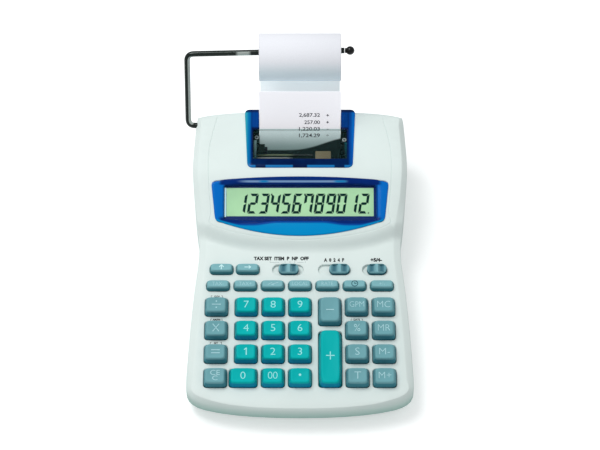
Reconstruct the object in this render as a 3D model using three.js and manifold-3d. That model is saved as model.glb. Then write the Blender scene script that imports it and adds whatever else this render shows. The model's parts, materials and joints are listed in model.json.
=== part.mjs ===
// A desktop printing calculator: a waisted case with a raised rear hood, a sloping keyboard, a display behind a
// tinted bezel, and a roller printer fed from a paper roll that hangs on a folding wire arm.
// Millimetres. +X is to the right, +Y to the rear, +Z up. The origin is under the middle of the object.
import * as THREE from "three";
import { mergeVertices } from "three/addons/utils/BufferGeometryUtils.js";
import Module from "manifold-3d";

const wasm = await Module();
wasm.setup();

const degree = Math.PI / 180;

// Walls and fits, shared by every piece
const wall = 2.5;
const clearance = 0.3;
const overrun = 5;

// Keyboard
const columnPitch = 18.25;
const columnGap = 2.15;
const rowPitch = 17.45;
const keyWidth = 15.6;
const keyDepth = 13.1;
const keyHeight = 6.5;
const keyCornerRadius = 1.7;
const keySideInset = 1.4;
const keyFrontInset = 0.7;
const keyRearInset = 1.5;
const keyDish = 0.7;
const keyTravel = 2.5;
const flangeReach = 0.65;
const flangeThickness = 1;
const zeroKeyExtraWidth = 3.4;
const minusKeyDepth = 20.2;

// Small function keys
const smallKeyWidth = 15.8;
const smallKeyDepth = 7.2;
const smallKeyHeight = 4.6;
const smallKeyCornerRadius = 2.6;
const smallKeyInset = 0.9;
const smallKeyDish = 0.3;
const smallRowInset = 0.65;
const editKeyPitch = 18;
const editKeyShift = 2.2;

// Slide switches
const slotDepth = 7.9;
const knobDepth = 7.2;
const knobHeight = 3.2;
const knobEdgeInset = 0.7;
const scallopRadius = 5.2;
const scallopDepth = 1.5;
const scallopSpacing = 7;
const modeSlotWidth = 21.3;
const decimalSlotWidth = 22;
const roundingSlotWidth = 17;
const modeSlotGap = 10.25;
const decimalSlotGap = 8.4;
const roundingSlotInset = 4.75;
const switchBodyWidth = 12;

// Rows, as distances down the deck from the foot of the hood
const switchRow = 14.5;
const switchToSmallRow = 12.55;
const smallToTopRow = 16.05;

// Case
const footHeight = 2;
const seamHeight = 12;
const sideMargin = 11.95;
const frontMargin = 16.15;
const deckHeight = 34.9;
const deckTilt = 6 * degree;
const waistEdgeRadius = 4;
const frontEdgeRadius = 2.2;
const cornerEdgeRadius = 6;
const hoodEdgeRadius = 7;
const rearEdgeRadius = 3;
const baseInset = 6;
const baseLip = 1.5;
const innerRadiusShare = 0.42;

// Hood: the steep front band, the display plane, a short shoulder and the nearly level printer top
const bandRun = 5.3;
const bandRise = 5.5;
const bandBow = 15.9;
const displayTilt = 19.9 * degree;
const crestMargin = 1.4;
const shoulderRun = 5.3;
const shoulderRise = 1.2;
const printerRun = 48;
const printerRise = 2.8;

// Display
const bezelMargin = 3.6;
const bezelDepth = 41.2;
const bezelRearWidth = 122.5;
const bezelFrontWidth = 116.1;
const bezelFrontBow = 9.3;
const bezelRearBow = 2.6;
const bezelCornerRadius = 4;
const bezelProud = 0.8;
const bezelFlangeReach = 1.4;
const lensMargin = 5.55;
const lensWidth = Math.min(bezelFrontWidth, bezelRearWidth) - 2 * lensMargin;
const lensDepth = 24.4;
const lensCentre = 26.9;
const lensCornerRadius = 1.2;
const lensThickness = 1.2;
const lensRecess = 1.4;
const lcdThickness = 2.8;

// Printer
const coverFrontWidth = 72.6;
const coverRearWidth = 77.4;
const coverCornerRadius = 3.5;
const coverFrontMargin = 0.7;
const coverProud = 0.8;
const coverFrontRim = 6.2;
const windowWidth = 66.6;
const windowDepth = 25.2;
const windowThickness = 1.5;
const tapeWidth = 57;
const tapeThickness = 0.3;
const notchMargin = 1.2;
const stripLean = 17 * degree;
const stripReach = 32.5;
const printDepth = 26.4;
const platenRadius = 6;
const spindleRadius = 1.5;
const platenMargin = 0.5;
const plateThickness = 2;
const plateGap = 5;
const frameBaseHeight = 12;
const frameFrontMargin = 4;
const frameRearMargin = 7.5;
const railRadius = 1.6;
const railHeight = 41.5;
const railToStrip = 9.6;
const headWidth = 11;
const headDepth = 8.4;
const headTop = 47;
const headBottom = 36;
const headInset = 12.2;
const headCentre = tapeWidth / 2 - headInset;
const noseHeight = 6;
const inkRadius = 3.6;
const inkWidth = 5.5;
const inkAxleRadius = 1;
const inkForward = 7;
const inkHeight = 46;

// Paper roll and its wire arm
const rollRadius = 16.6;
const coreRadius = 7.4;
const rollHangAngle = 30 * degree;
const armLength = 54.5;
const armAngle = 56.25 * degree;
const pivotHeight = 54.7;
const pivotMargin = 9.7;
const wireRadius = 2;
const legOffset = 5.75;
const stubLength = 7;
const bendRadius = 5;
const rodOverhang = 2.4;
const rodRise = 2.6;
const knobRadius = 3.05;
const knobNeckRadius = 1.7;
const knobNeckLength = 1.2;
const webSlotHeight = 33;
const webSlotBelow = 2.5;
const webSlotAbove = 8.5;
const webSlotMargin = 2;

// Boards and mat under the keys
const matThickness = 1;
const padHeight = 1.2;
const boardThickness = 1.6;
const boardSideMargin = 13;
const boardFrontMargin = 2.25;
const boardRearMargin = 3;

// Bottom: battery bay, posts, feet and the power inlet
const bayWidth = 60;
const bayDepth = 54;
const bayHeight = 16;
const bayRearGap = 4;
const bayWall = 1.5;
const doorThickness = 2.2;
const postRadius = 2.6;
const postInset = 8;
const postEndInset = 17;
const standoffRadius = 2.4;
const footWidth = 110;
const footDepth = 9;
const footInset = 11;
const footCornerRadius = 3;
const socketWidth = 9;
const socketHeight = 10.5;
const socketLength = 11;
const socketBoreRadius = 3.1;
const socketBoreDepth = 9;
const socketFromMiddle = 48;
const socketCentreHeight = 24;

// How finely round shapes are drawn
const cornerSteps = 2;
const edgeSteps = 4;
const outlineSteps = 5;
const sideSteps = 20;
const surfaceColumns = 16;
const wireSides = 10;
const roundSides = 16;
const rollSides = 28;

// The case outline from the front to the rear corner, as shares of the half width and of the depth
const sideShares = [
  [1, 0.088],
  [0.998, 0.126],
  [0.977, 0.262],
  [0.947, 0.397],
  [0.9215, 0.479],
  [0.9113, 0.526],
  [0.914, 0.572],
  [0.933, 0.6265],
  [0.9555, 0.69],
  [0.974, 0.763],
  [0.9765, 0.818],
  [0.9675, 0.8905],
  [0.956, 0.95],
  [0.942, 0.975],
];
const frontCornerShare = [0.83, 0.027];
const frontCornerControlShare = [1.003, 0.0436];
const frontControlShare = [0.545, 0];
const rearControlShare = [0.78, 1];

// The front edge grows into the corner between these shares of the half width
const cornerEdgeShares = [0.3, 0.9];

// Overall sizes that follow from the layout
const columnCount = 7;
const middleColumn = 3;
const rowCount = 4;
const keyboardWidth = (columnCount - 1) * columnPitch + 2 * columnGap + keyWidth;
const caseWidth = keyboardWidth + 2 * sideMargin;
const halfWidth = caseWidth / 2;
const smallKeyPitch = (keyboardWidth - 2 * smallRowInset - smallKeyWidth) / (columnCount - 1);
const roundingSlotStart = keyboardWidth / 2 - roundingSlotInset - roundingSlotWidth;
const decimalSlotStart = roundingSlotStart - decimalSlotGap - decimalSlotWidth;
const modeSlotStart = decimalSlotStart - modeSlotGap - modeSlotWidth;
const smallRow = switchRow + switchToSmallRow;
const topRow = smallRow + smallToTopRow;
const keyboardEnd = topRow + (rowCount - 1) * rowPitch + keyDepth / 2;
const frontY = -keyboardEnd * Math.cos(deckTilt) - frontMargin;
const displayFrontZ = deckHeight + bandRise;
const crestSlant = bezelMargin + bezelDepth + crestMargin;
const crestY = bandRun + crestSlant * Math.cos(displayTilt);
const crestZ = displayFrontZ + crestSlant * Math.sin(displayTilt);
const shoulderY = crestY + shoulderRun;
const shoulderZ = crestZ + shoulderRise;
const rearY = shoulderY + printerRun;
const caseDepth = rearY - frontY;
const topLimit = shoulderZ + printerRise + overrun;

const deckFrame = new THREE.Matrix4().makeRotationX(deckTilt).setPosition(0, 0, deckHeight);
const displayFrame = new THREE.Matrix4()
  .makeRotationX(displayTilt)
  .setPosition(0, bandRun, displayFrontZ);

// Solids from geometries and back
function solid(geometry, frame = new THREE.Matrix4()) {
  const bare = geometry.clone().applyMatrix4(frame);
  bare.deleteAttribute("normal");
  bare.deleteAttribute("uv");
  const merged = mergeVertices(bare);
  return new wasm.Manifold(
    new wasm.Mesh({
      numProp: 3,
      vertProperties: merged.attributes.position.array,
      triVerts: new Uint32Array(merged.index.array),
    }),
  );
}

function geometryOf(made) {
  const data = made.getMesh();
  const geometry = new THREE.BufferGeometry();
  geometry.setAttribute("position", new THREE.BufferAttribute(data.vertProperties, data.numProp));
  geometry.setIndex(new THREE.BufferAttribute(data.triVerts, 1));
  geometry.computeVertexNormals();
  return geometry;
}

// A closed skin over rings of equal counts, each ring running anticlockwise seen from the last ring's side
function loft(rings, capOutline = null) {
  const count = rings[0].length;
  const positions = rings.flat().flatMap((p) => [p.x, p.y, p.z]);
  const faces = [];
  for (let ring = 0; ring < rings.length - 1; ring += 1) {
    for (let i = 0; i < count; i += 1) {
      const a = ring * count + i;
      const b = ring * count + ((i + 1) % count);
      faces.push(a, b, b + count, a, b + count, a + count);
    }
  }
  const last = (rings.length - 1) * count;
  const bottom = THREE.ShapeUtils.triangulateShape(capOutline ?? rings[0], []);
  const top = THREE.ShapeUtils.triangulateShape(capOutline ?? rings[rings.length - 1], []);
  bottom.forEach(([a, b, c]) => faces.push(c, b, a));
  top.forEach(([a, b, c]) => faces.push(last + a, last + b, last + c));
  const geometry = new THREE.BufferGeometry();
  geometry.setAttribute("position", new THREE.Float32BufferAttribute(positions, 3));
  geometry.setIndex(faces);
  geometry.computeVertexNormals();
  return geometry;
}

const atHeight = (outline, z) => outline.map((p) => new THREE.Vector3(p.x, p.y, z));
const prism = (outline, low, high) => loft([atHeight(outline, low), atHeight(outline, high)]);

function roundedRectangle(width, depth, radius, centreX = 0, centreY = 0) {
  const points = [];
  for (let corner = 0; corner < 4; corner += 1) {
    const middle = (corner * Math.PI) / 2 + Math.PI / 4;
    const x = Math.sign(Math.cos(middle)) * (width / 2 - radius);
    const y = Math.sign(Math.sin(middle)) * (depth / 2 - radius);
    for (let step = 0; step <= cornerSteps; step += 1) {
      const angle = ((corner + step / cornerSteps) * Math.PI) / 2;
      points.push(
        new THREE.Vector2(
          centreX + x + radius * Math.cos(angle),
          centreY + y + radius * Math.sin(angle),
        ),
      );
    }
  }
  return points;
}

function circle(radius, sides, centreX = 0, centreY = 0) {
  return Array.from({ length: sides }, (_, i) => {
    const angle = ((i + 0.5) * 2 * Math.PI) / sides;
    return new THREE.Vector2(
      centreX + radius * Math.cos(angle),
      centreY + radius * Math.sin(angle),
    );
  });
}

function block(xLow, xHigh, yLow, yHigh, zLow, zHigh) {
  const geometry = new THREE.BoxGeometry(xHigh - xLow, yHigh - yLow, zHigh - zLow);
  return geometry.translate((xLow + xHigh) / 2, (yLow + yHigh) / 2, (zLow + zHigh) / 2);
}

// Turns a profile drawn in the side view (depth, height) into a solid that runs along X
const sideView = new THREE.Matrix4().makeBasis(
  new THREE.Vector3(0, 1, 0),
  new THREE.Vector3(0, 0, 1),
  new THREE.Vector3(1, 0, 0),
);
const alongX = (profile, xLow, xHigh) => prism(profile, xLow, xHigh).applyMatrix4(sideView);
const rod = (radius, sides, xLow, xHigh, y, z) => alongX(circle(radius, sides, y, z), xLow, xHigh);

// Moves each point of an anticlockwise outline inwards by its own distance, with mitred corners
function inset(outline, distanceAt) {
  const count = outline.length;
  return outline.map((point, i) => {
    const before = point.clone().sub(outline[(i + count - 1) % count]).normalize();
    const after = outline[(i + 1) % count].clone().sub(point).normalize();
    const first = new THREE.Vector2(-before.y, before.x);
    const second = new THREE.Vector2(-after.y, after.x);
    const middle = first.clone().add(second).normalize();
    return point.clone().addScaledVector(middle, distanceAt(i) / middle.dot(first));
  });
}

// The case in plan
const fromShare = ([x, y]) => new THREE.Vector2(x * halfWidth, frontY + y * caseDepth);
const sideCurve = new THREE.SplineCurve(sideShares.map(fromShare));
const sideStations = sideCurve.getPoints(sideSteps * sideShares.length);

function halfWidthAt(y) {
  const next = sideStations.findIndex((p) => p.y >= y);
  if (next <= 0) return (next === 0 ? sideStations[0] : sideStations.at(-1)).x;
  const low = sideStations[next - 1];
  const high = sideStations[next];
  return THREE.MathUtils.mapLinear(y, low.y, high.y, low.x, high.x);
}

const bandFoot = (x) => bandBow * Math.abs(x / halfWidth) ** 3;

// Where the foot of the hood meets the side of the case
function bandFootAtSide() {
  let y = bandFoot(halfWidth);
  for (let pass = 0; pass < outlineSteps; pass += 1) y = bandFoot(halfWidthAt(y));
  return y;
}

const rearCurve = new THREE.QuadraticBezierCurve(
  fromShare(sideShares.at(-1)),
  fromShare(rearControlShare),
  fromShare([0, 1]),
);

function caseOutline() {
  const front = new THREE.QuadraticBezierCurve(
    fromShare([0, 0]),
    fromShare(frontControlShare),
    fromShare(frontCornerShare),
  );
  const corner = new THREE.QuadraticBezierCurve(
    fromShare(frontCornerShare),
    fromShare(frontCornerControlShare),
    fromShare(sideShares[0]),
  );
  const foot = bandFootAtSide();
  const sideStart = fromShare(sideShares[0]).y;
  const sideEnd = fromShare(sideShares.at(-1)).y;
  const heights = Array.from({ length: sideSteps - 1 }, (_, i) =>
    THREE.MathUtils.lerp(sideStart, sideEnd, (i + 1) / sideSteps),
  );
  const spacing = (sideEnd - sideStart) / sideSteps;
  const kept = heights.filter(
    (y) => Math.abs(y - foot) > spacing / 2 && Math.abs(y - foot - bandRun) > spacing / 2,
  );
  const side = [...kept, foot, foot + bandRun]
    .sort((a, b) => a - b)
    .map((y) => new THREE.Vector2(halfWidthAt(y), y));
  const right = [
    ...front.getPoints(outlineSteps),
    ...corner.getPoints(outlineSteps).slice(1),
    ...side,
    ...rearCurve.getPoints(outlineSteps),
  ];
  const left = right.slice(1, -1).reverse();
  return [...right, ...left.map((p) => new THREE.Vector2(-p.x, p.y))];
}

const outline = caseOutline();

// Height of the upper case's outer surface
const deckAt = (y) => deckHeight + y * Math.tan(deckTilt);
const displayAt = (y) => displayFrontZ + (y - bandRun) * Math.tan(displayTilt);

function surfaceAt(x, y) {
  const foot = bandFoot(x);
  if (y < foot) return deckAt(y);
  const top = foot + bandRun;
  if (y < top) return THREE.MathUtils.mapLinear(y, foot, top, deckAt(foot), displayAt(top));
  if (y < crestY) return displayAt(y);
  if (y < shoulderY) return THREE.MathUtils.mapLinear(y, crestY, shoulderY, crestZ, shoulderZ);
  return shoulderZ + ((y - shoulderY) * printerRise) / printerRun;
}

// Lines across the case, from the front to the rear, between which the outer surface is flat or ruled
function surfaceLines(offset) {
  const reach = halfWidth + overrun;
  const line = (steps, station) =>
    Array.from({ length: steps + 1 }, (_, i) => {
      const x = THREE.MathUtils.lerp(-reach, reach, i / steps);
      return new THREE.Vector3(x, station(x), surfaceAt(x, station(x)) + offset);
    });
  return [
    line(1, () => frontY - overrun),
    line(1, () => slotDepth - switchRow),
    line(surfaceColumns, (x) => bandFoot(x)),
    line(surfaceColumns, (x) => bandFoot(x) + bandRun),
    line(1, () => crestY),
    line(1, () => shoulderY),
    line(1, () => rearY + overrun),
  ];
}

// Triangles between two neighbouring lines, as trios of their points
function betweenLines(near, far) {
  const polygon = [...near, ...far.slice().reverse()];
  if (near.length === 2 || far.length === 2) {
    const trios = THREE.ShapeUtils.triangulateShape(polygon, []);
    return trios.map((trio) => trio.map((i) => polygon[i]));
  }
  return near.slice(1).flatMap((_, i) => [
    [near[i], near[i + 1], far[i + 1]],
    [near[i], far[i + 1], far[i]],
  ]);
}

// Everything between a level plane and the outer surface moved up or down by an offset
function underSurface(offset, low) {
  const lines = surfaceLines(offset);
  const top = lines.flat();
  const points = [...top, ...top.map((p) => new THREE.Vector3(p.x, p.y, low))];
  const number = new Map(top.map((p, i) => [p, i]));
  const under = top.length;
  const faces = [];
  lines.slice(1).forEach((far, i) =>
    betweenLines(lines[i], far).forEach((trio) => {
      const [a, b, c] = trio.map((p) => number.get(p));
      faces.push(a, b, c, under + c, under + b, under + a);
    }),
  );
  const ends = lines.slice(1, -1);
  const rim = [
    ...lines[0],
    ...ends.map((line) => line.at(-1)),
    ...lines.at(-1).slice().reverse(),
    ...ends.map((line) => line[0]).reverse(),
  ].map((p) => number.get(p));
  rim.forEach((a, i) => {
    const b = rim[(i + 1) % rim.length];
    faces.push(under + a, under + b, b, under + a, b, a);
  });
  const geometry = new THREE.BufferGeometry();
  const numbers = points.flatMap((p) => [p.x, p.y, p.z]);
  geometry.setAttribute("position", new THREE.Float32BufferAttribute(numbers, 3));
  geometry.setIndex(faces);
  return geometry;
}

function edgeRadiusAt(point) {
  if (point.y > fromShare(sideShares.at(-1)).y) return rearEdgeRadius;
  const foot = bandFoot(point.x);
  if (point.y >= foot + bandRun / 2) {
    const share = THREE.MathUtils.smoothstep(point.y, foot, foot + printerRun / 2);
    return THREE.MathUtils.lerp(waistEdgeRadius, hoodEdgeRadius, share);
  }
  const towardsSide = THREE.MathUtils.smoothstep(Math.abs(point.x) / halfWidth, ...cornerEdgeShares);
  const nearFront = THREE.MathUtils.lerp(frontEdgeRadius, cornerEdgeRadius, towardsSide);
  const share = THREE.MathUtils.smoothstep(-point.y, 0, -frontY);
  return THREE.MathUtils.lerp(waistEdgeRadius, nearFront, share);
}

// A column on the case outline whose top edge rounds over into the outer surface, then runs straight up
function roundedColumn(shrink, low, radiusShare = 1) {
  const radius = outline.map((p) => edgeRadiusAt(p) * radiusShare);
  const rings = [atHeight(inset(outline, () => shrink), low)];
  for (let step = 0; step <= edgeSteps; step += 1) {
    const angle = ((step / edgeSteps) * Math.PI) / 2;
    const ring = inset(outline, (i) => shrink + radius[i] * (1 - Math.cos(angle)));
    rings.push(
      ring.map((p, i) => {
        const drop = radius[i] * (1 - Math.sin(angle));
        return new THREE.Vector3(p.x, p.y, surfaceAt(p.x, p.y) - shrink - drop);
      }),
    );
  }
  rings.push(atHeight(rings.at(-1), topLimit));
  return loft(rings);
}

// Key and switch layout, all in the deck's own frame
const columnX = (column) =>
  (column - middleColumn) * columnPitch +
  (column === 0 ? -columnGap : column > middleColumn ? columnGap : 0);
const rowY = (row) => -(topRow + row * rowPitch);
const plusKeyDepth = (rowCount - 1) * rowPitch + keyDepth - minusKeyDepth - (rowPitch - keyDepth);
const tallKeyColumn = columnX(middleColumn + 1);
const rearEdge = rowY(0) + keyDepth / 2;
const frontEdge = rowY(rowCount - 1) - keyDepth / 2;

// Main keys by row from the rear, then by column; a gap is where a tall or wide key stands
const mainKeyNames = [
  ["divide", "7", "8", "9", "", "margin", "memory_clear"],
  ["multiply", "4", "5", "6", "", "percent", "memory_recall"],
  ["equals", "1", "2", "3", "", "subtotal", "memory_minus"],
  ["clear", "", "00", "point", "", "total", "memory_plus"],
];
const tealKeys = ["0", "1", "2", "3", "4", "5", "6", "7", "8", "9", "00", "point", "plus"];
const smallKeyNames = ["tax_minus", "tax_plus", "convert", "local", "rate", "clock", "sign"];
const editKeyNames = ["paper_feed", "backspace"];

const mainKeySize = { height: keyHeight, radius: keyCornerRadius, dish: keyDish };
const mainTaper = { side: keySideInset, front: keyFrontInset, rear: keyRearInset };
const smallKeySize = { height: smallKeyHeight, radius: smallKeyCornerRadius, dish: smallKeyDish };
const smallTaper = { side: smallKeyInset, front: smallKeyInset, rear: smallKeyInset };

const keys = [];
mainKeyNames.forEach((names, row) =>
  names.forEach((name, column) => {
    if (name === "") return;
    const at = { x: columnX(column), y: rowY(row), width: keyWidth, depth: keyDepth };
    keys.push({ name, ...at, ...mainKeySize, taper: mainTaper });
  }),
);
const zeroKeyX = columnX(1) - zeroKeyExtraWidth / 2;
const zeroKeyWidth = keyWidth + zeroKeyExtraWidth;
const zeroKeyPlace = { x: zeroKeyX, y: rowY(rowCount - 1), width: zeroKeyWidth, depth: keyDepth };
keys.push({ name: "0", ...zeroKeyPlace, ...mainKeySize, taper: mainTaper });
const minusPlace = { x: tallKeyColumn, y: rearEdge - minusKeyDepth / 2, depth: minusKeyDepth };
keys.push({ name: "minus", width: keyWidth, ...minusPlace, ...mainKeySize, taper: mainTaper });
const plusPlace = { x: tallKeyColumn, y: frontEdge + plusKeyDepth / 2, depth: plusKeyDepth };
keys.push({ name: "plus", width: keyWidth, ...plusPlace, ...mainKeySize, taper: mainTaper });
smallKeyNames.forEach((name, i) => {
  const x = (i - (smallKeyNames.length - 1) / 2) * smallKeyPitch;
  const at = { x, y: -smallRow, width: smallKeyWidth, depth: smallKeyDepth };
  keys.push({ name, ...at, ...smallKeySize, taper: smallTaper });
});
editKeyNames.forEach((name, i) => {
  const x = -((smallKeyNames.length - 1) / 2) * smallKeyPitch + editKeyShift + i * editKeyPitch;
  const at = { x, y: -switchRow, width: smallKeyWidth, depth: smallKeyDepth };
  keys.push({ name, ...at, ...smallKeySize, taper: smallTaper });
});

// A switch's knob stands in its slot at a share of half its travel from the middle; the knob fills the share
// of the slot that its travel leaves
const switches = [
  { name: "print_mode_switch", start: modeSlotStart, slot: modeSlotWidth, knobShare: 0.657, rest: 0.15 },
  { name: "decimal_switch", start: decimalSlotStart, slot: decimalSlotWidth, knobShare: 0.645, rest: 1 },
  { name: "rounding_switch", start: roundingSlotStart, slot: roundingSlotWidth, knobShare: 0.8, rest: 1 },
].map((item) => {
  const x = item.start + item.slot / 2;
  const width = item.slot * item.knobShare;
  const travel = item.slot - width - 2 * clearance;
  return { ...item, x, width, travel, knobX: x + (item.rest * travel) / 2 };
});

// Levels under the deck's surface, measured along its normal
const deckUnderside = -wall * Math.cos(deckTilt);
const flangeTop = deckUnderside - clearance;
const flangeBottom = flangeTop - flangeThickness;
const padTop = flangeBottom - keyTravel - clearance;
const matTop = padTop - padHeight;
const matBottom = matTop - matThickness;
const boardTop = matBottom - clearance;
const boardBottom = boardTop - boardThickness;

// A key cap with its retaining flange: tapered sides and a dished top
function keyGeometry(key) {
  const { width, depth, radius, taper } = key;
  const shift = (taper.front - taper.rear) / 2;
  const topWidth = width - 2 * taper.side;
  const topDepth = depth - taper.front - taper.rear;
  const flange = roundedRectangle(
    width + 2 * flangeReach,
    depth + 2 * flangeReach,
    radius + flangeReach,
  );
  const skirt = roundedRectangle(width, depth, radius);
  const rim = roundedRectangle(topWidth, topDepth, radius, 0, shift);
  const bowl = roundedRectangle(topWidth / 2, topDepth / 2, radius / 2, 0, shift);
  return loft([
    atHeight(flange, flangeBottom),
    atHeight(flange, flangeTop),
    atHeight(skirt, flangeTop),
    atHeight(skirt, 0),
    atHeight(rim, key.height),
    atHeight(bowl, key.height - key.dish),
  ]);
}

// A capsule knob with two finger scallops that leave a rib between them
function switchGeometry(item) {
  const capsule = (grow) =>
    roundedRectangle(item.width + 2 * grow, knobDepth + 2 * grow, knobDepth / 2 + grow);
  const body = solid(
    loft([
      atHeight(capsule(flangeReach + clearance), flangeBottom),
      atHeight(capsule(flangeReach + clearance), flangeTop),
      atHeight(capsule(0), flangeTop),
      atHeight(capsule(0), knobHeight / 2),
      atHeight(capsule(-knobEdgeInset), knobHeight),
    ]),
  );
  const scallops = [-1, 1].map((side) => {
    const outlineAcross = circle(
      scallopRadius,
      roundSides,
      (side * scallopSpacing) / 2,
      knobHeight + scallopRadius - scallopDepth,
    );
    const turn = new THREE.Matrix4().makeRotationX(Math.PI / 2);
    return solid(prism(outlineAcross, -knobDepth, knobDepth), turn);
  });
  return geometryOf(scallops.reduce((made, cut) => made.subtract(cut), body));
}

// Plan outlines of the bezel and of the printer cover
function bezelOutline() {
  const front = bezelMargin + bezelFrontBow;
  const rear = bezelMargin + bezelDepth - bezelRearBow;
  const corners = [
    new THREE.Vector2(bezelFrontWidth / 2, front),
    new THREE.Vector2(bezelRearWidth / 2, rear),
    new THREE.Vector2(-bezelRearWidth / 2, rear),
    new THREE.Vector2(-bezelFrontWidth / 2, front),
  ];
  const bows = [null, bezelRearBow, null, -bezelFrontBow];
  return smoothedOutline(corners, bows, bezelCornerRadius);
}

// An outline with rounded corners; an edge with a bow bends by it at its middle, to the rear if positive
function smoothedOutline(corners, bows, radius) {
  const points = [];
  corners.forEach((corner, i) => {
    const before = corners.at(i - 1);
    const after = corners[(i + 1) % corners.length];
    const start = corner.clone().addScaledVector(before.clone().sub(corner).normalize(), radius);
    const end = corner.clone().addScaledVector(after.clone().sub(corner).normalize(), radius);
    points.push(...new THREE.QuadraticBezierCurve(start, corner, end).getPoints(cornerSteps));
    if (!bows[i]) return;
    const middle = corner.clone().add(after).divideScalar(2);
    middle.y += 2 * bows[i];
    const next = after.clone().addScaledVector(corner.clone().sub(after).normalize(), radius);
    const bow = new THREE.QuadraticBezierCurve(end, middle, next).getPoints(2 * outlineSteps);
    points.push(...bow.slice(1, -1));
  });
  return points;
}

const coverFrontY = shoulderY + coverFrontMargin;
const coverRearY = rearY + overrun;
const windowFrontY = coverFrontY + coverFrontRim;
const tearY = windowFrontY + windowDepth;
const tearZ = surfaceAt(0, tearY);

function coverOutline() {
  const widthGrowth = (coverRearWidth - coverFrontWidth) / (rearY - coverFrontY);
  const farWidth = coverFrontWidth + widthGrowth * (coverRearY - coverFrontY);
  const corners = [
    new THREE.Vector2(coverFrontWidth / 2, coverFrontY),
    new THREE.Vector2(farWidth / 2, coverRearY),
    new THREE.Vector2(-farWidth / 2, coverRearY),
    new THREE.Vector2(-coverFrontWidth / 2, coverFrontY),
  ];
  return smoothedOutline(corners, [null, null, null, null], coverCornerRadius);
}

// The paper's path through the printer, in the side view (depth, height)
const stripUp = new THREE.Vector2(Math.sin(stripLean), Math.cos(stripLean));
const towardsPlaten = new THREE.Vector2(Math.cos(stripLean), -Math.sin(stripLean));
const stripGap = clearance + tapeThickness / 2;
const tearPoint = new THREE.Vector2(tearY, tearZ).addScaledVector(towardsPlaten, stripGap);
const printPoint = tearPoint.clone().addScaledVector(stripUp, -printDepth);
const wrapRadius = platenRadius + stripGap;
const platenCentre = printPoint.clone().addScaledVector(towardsPlaten, wrapRadius);
const webSlot = new THREE.Vector2(rearY, webSlotHeight);
const stripAt = (z) => tearPoint.x - (tearPoint.y - z) * Math.tan(stripLean);

// The roll hangs from the rod by its core, pulled a little forwards; the rod rises towards its free end
const pivot = new THREE.Vector2(rearY - pivotMargin, pivotHeight);
const armDirection = new THREE.Vector2(Math.cos(armAngle), Math.sin(armAngle));
const rodPoint = pivot.clone().addScaledVector(armDirection, armLength);
const legX = -(halfWidthAt(pivot.x) + legOffset);
const rodEndX = tapeWidth / 2 + rodOverhang;
const riseAtRollEnd = rodRise * ((tapeWidth / 2 - legX) / (rodEndX - legX) - 0.5);
const hang = coreRadius * Math.cos(Math.PI / roundSides) - wireRadius - clearance - riseAtRollEnd;
const hangDirection = new THREE.Vector2(-Math.sin(rollHangAngle), -Math.cos(rollHangAngle));
const rollCentre = rodPoint.clone().addScaledVector(hangDirection, hang);

function tapePath() {
  const toSlot = webSlot.clone().sub(platenCentre);
  const leave = toSlot.angle() - Math.acos(wrapRadius / toSlot.length()) + 2 * Math.PI;
  const enter = towardsPlaten.clone().negate().angle();
  const wrapSteps = 2 * outlineSteps;
  const wrap = Array.from({ length: wrapSteps + 1 }, (_, i) => {
    const angle = THREE.MathUtils.lerp(enter, leave, i / wrapSteps);
    const around = new THREE.Vector2(Math.cos(angle), Math.sin(angle));
    return platenCentre.clone().addScaledVector(around, wrapRadius);
  });
  const rollSide = rollCentre.clone();
  rollSide.x += rollRadius + stripGap;
  const climb = rollSide.y - webSlot.y;
  const slope = webSlot.clone().sub(wrap.at(-1)).normalize();
  const web = new THREE.CubicBezierCurve(
    webSlot,
    webSlot.clone().addScaledVector(slope, climb / 3),
    new THREE.Vector2(rollSide.x, rollSide.y - (climb * 2) / 3),
    rollSide,
  );
  const stripTop = tearPoint.clone().addScaledVector(stripUp, stripReach);
  return [stripTop, tearPoint, ...wrap, ...web.getPoints(wrapSteps)];
}

function tapeGeometry() {
  const path = tapePath();
  const sides = [-1, 1].map((side) =>
    path.map((point, i) => {
      const before = path[Math.max(i - 1, 0)];
      const after = path[Math.min(i + 1, path.length - 1)];
      const along = after.clone().sub(before).normalize();
      const across = new THREE.Vector2(along.y, -along.x);
      return point.clone().addScaledVector(across, (side * tapeThickness) / 2);
    }),
  );
  const profile = [...sides[1], ...sides[0].reverse()];
  const wound = THREE.ShapeUtils.isClockWise(profile) ? profile.reverse() : profile;
  return alongX(wound, -tapeWidth / 2, tapeWidth / 2);
}

// A round wire through points that lie in one plane with the X axis
function wireGeometry(points, radius, planeNormal) {
  const unit = circle(1, wireSides);
  const rings = points.map((point, i) => {
    const before = points[Math.max(i - 1, 0)];
    const after = points[Math.min(i + 1, points.length - 1)];
    const along = after.clone().sub(before).normalize();
    const second = along.clone().cross(planeNormal);
    return unit.map((p) =>
      point
        .clone()
        .addScaledVector(planeNormal, radius * p.x)
        .addScaledVector(second, radius * p.y),
    );
  });
  return loft(rings, unit);
}

function bend(start, corner, end) {
  const first = corner.clone().addScaledVector(start.clone().sub(corner).normalize(), bendRadius);
  const second = corner.clone().addScaledVector(end.clone().sub(corner).normalize(), bendRadius);
  return new THREE.QuadraticBezierCurve3(first, corner, second).getPoints(outlineSteps);
}

function armGeometry() {
  const inSide = (x, point) => new THREE.Vector3(x, point.x, point.y);
  const stub = inSide(legX + legOffset + stubLength, pivot);
  const heel = inSide(legX, pivot);
  const elbow = inSide(legX, rodPoint.clone().addScaledVector(armDirection, -rodRise / 2));
  const tip = inSide(rodEndX, rodPoint.clone().addScaledVector(armDirection, rodRise / 2));
  const normal = new THREE.Vector3(0, -armDirection.y, armDirection.x);
  const points = [stub, ...bend(stub, heel, elbow), ...bend(heel, elbow, tip), tip];
  return wireGeometry(points, wireRadius, normal);
}

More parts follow.
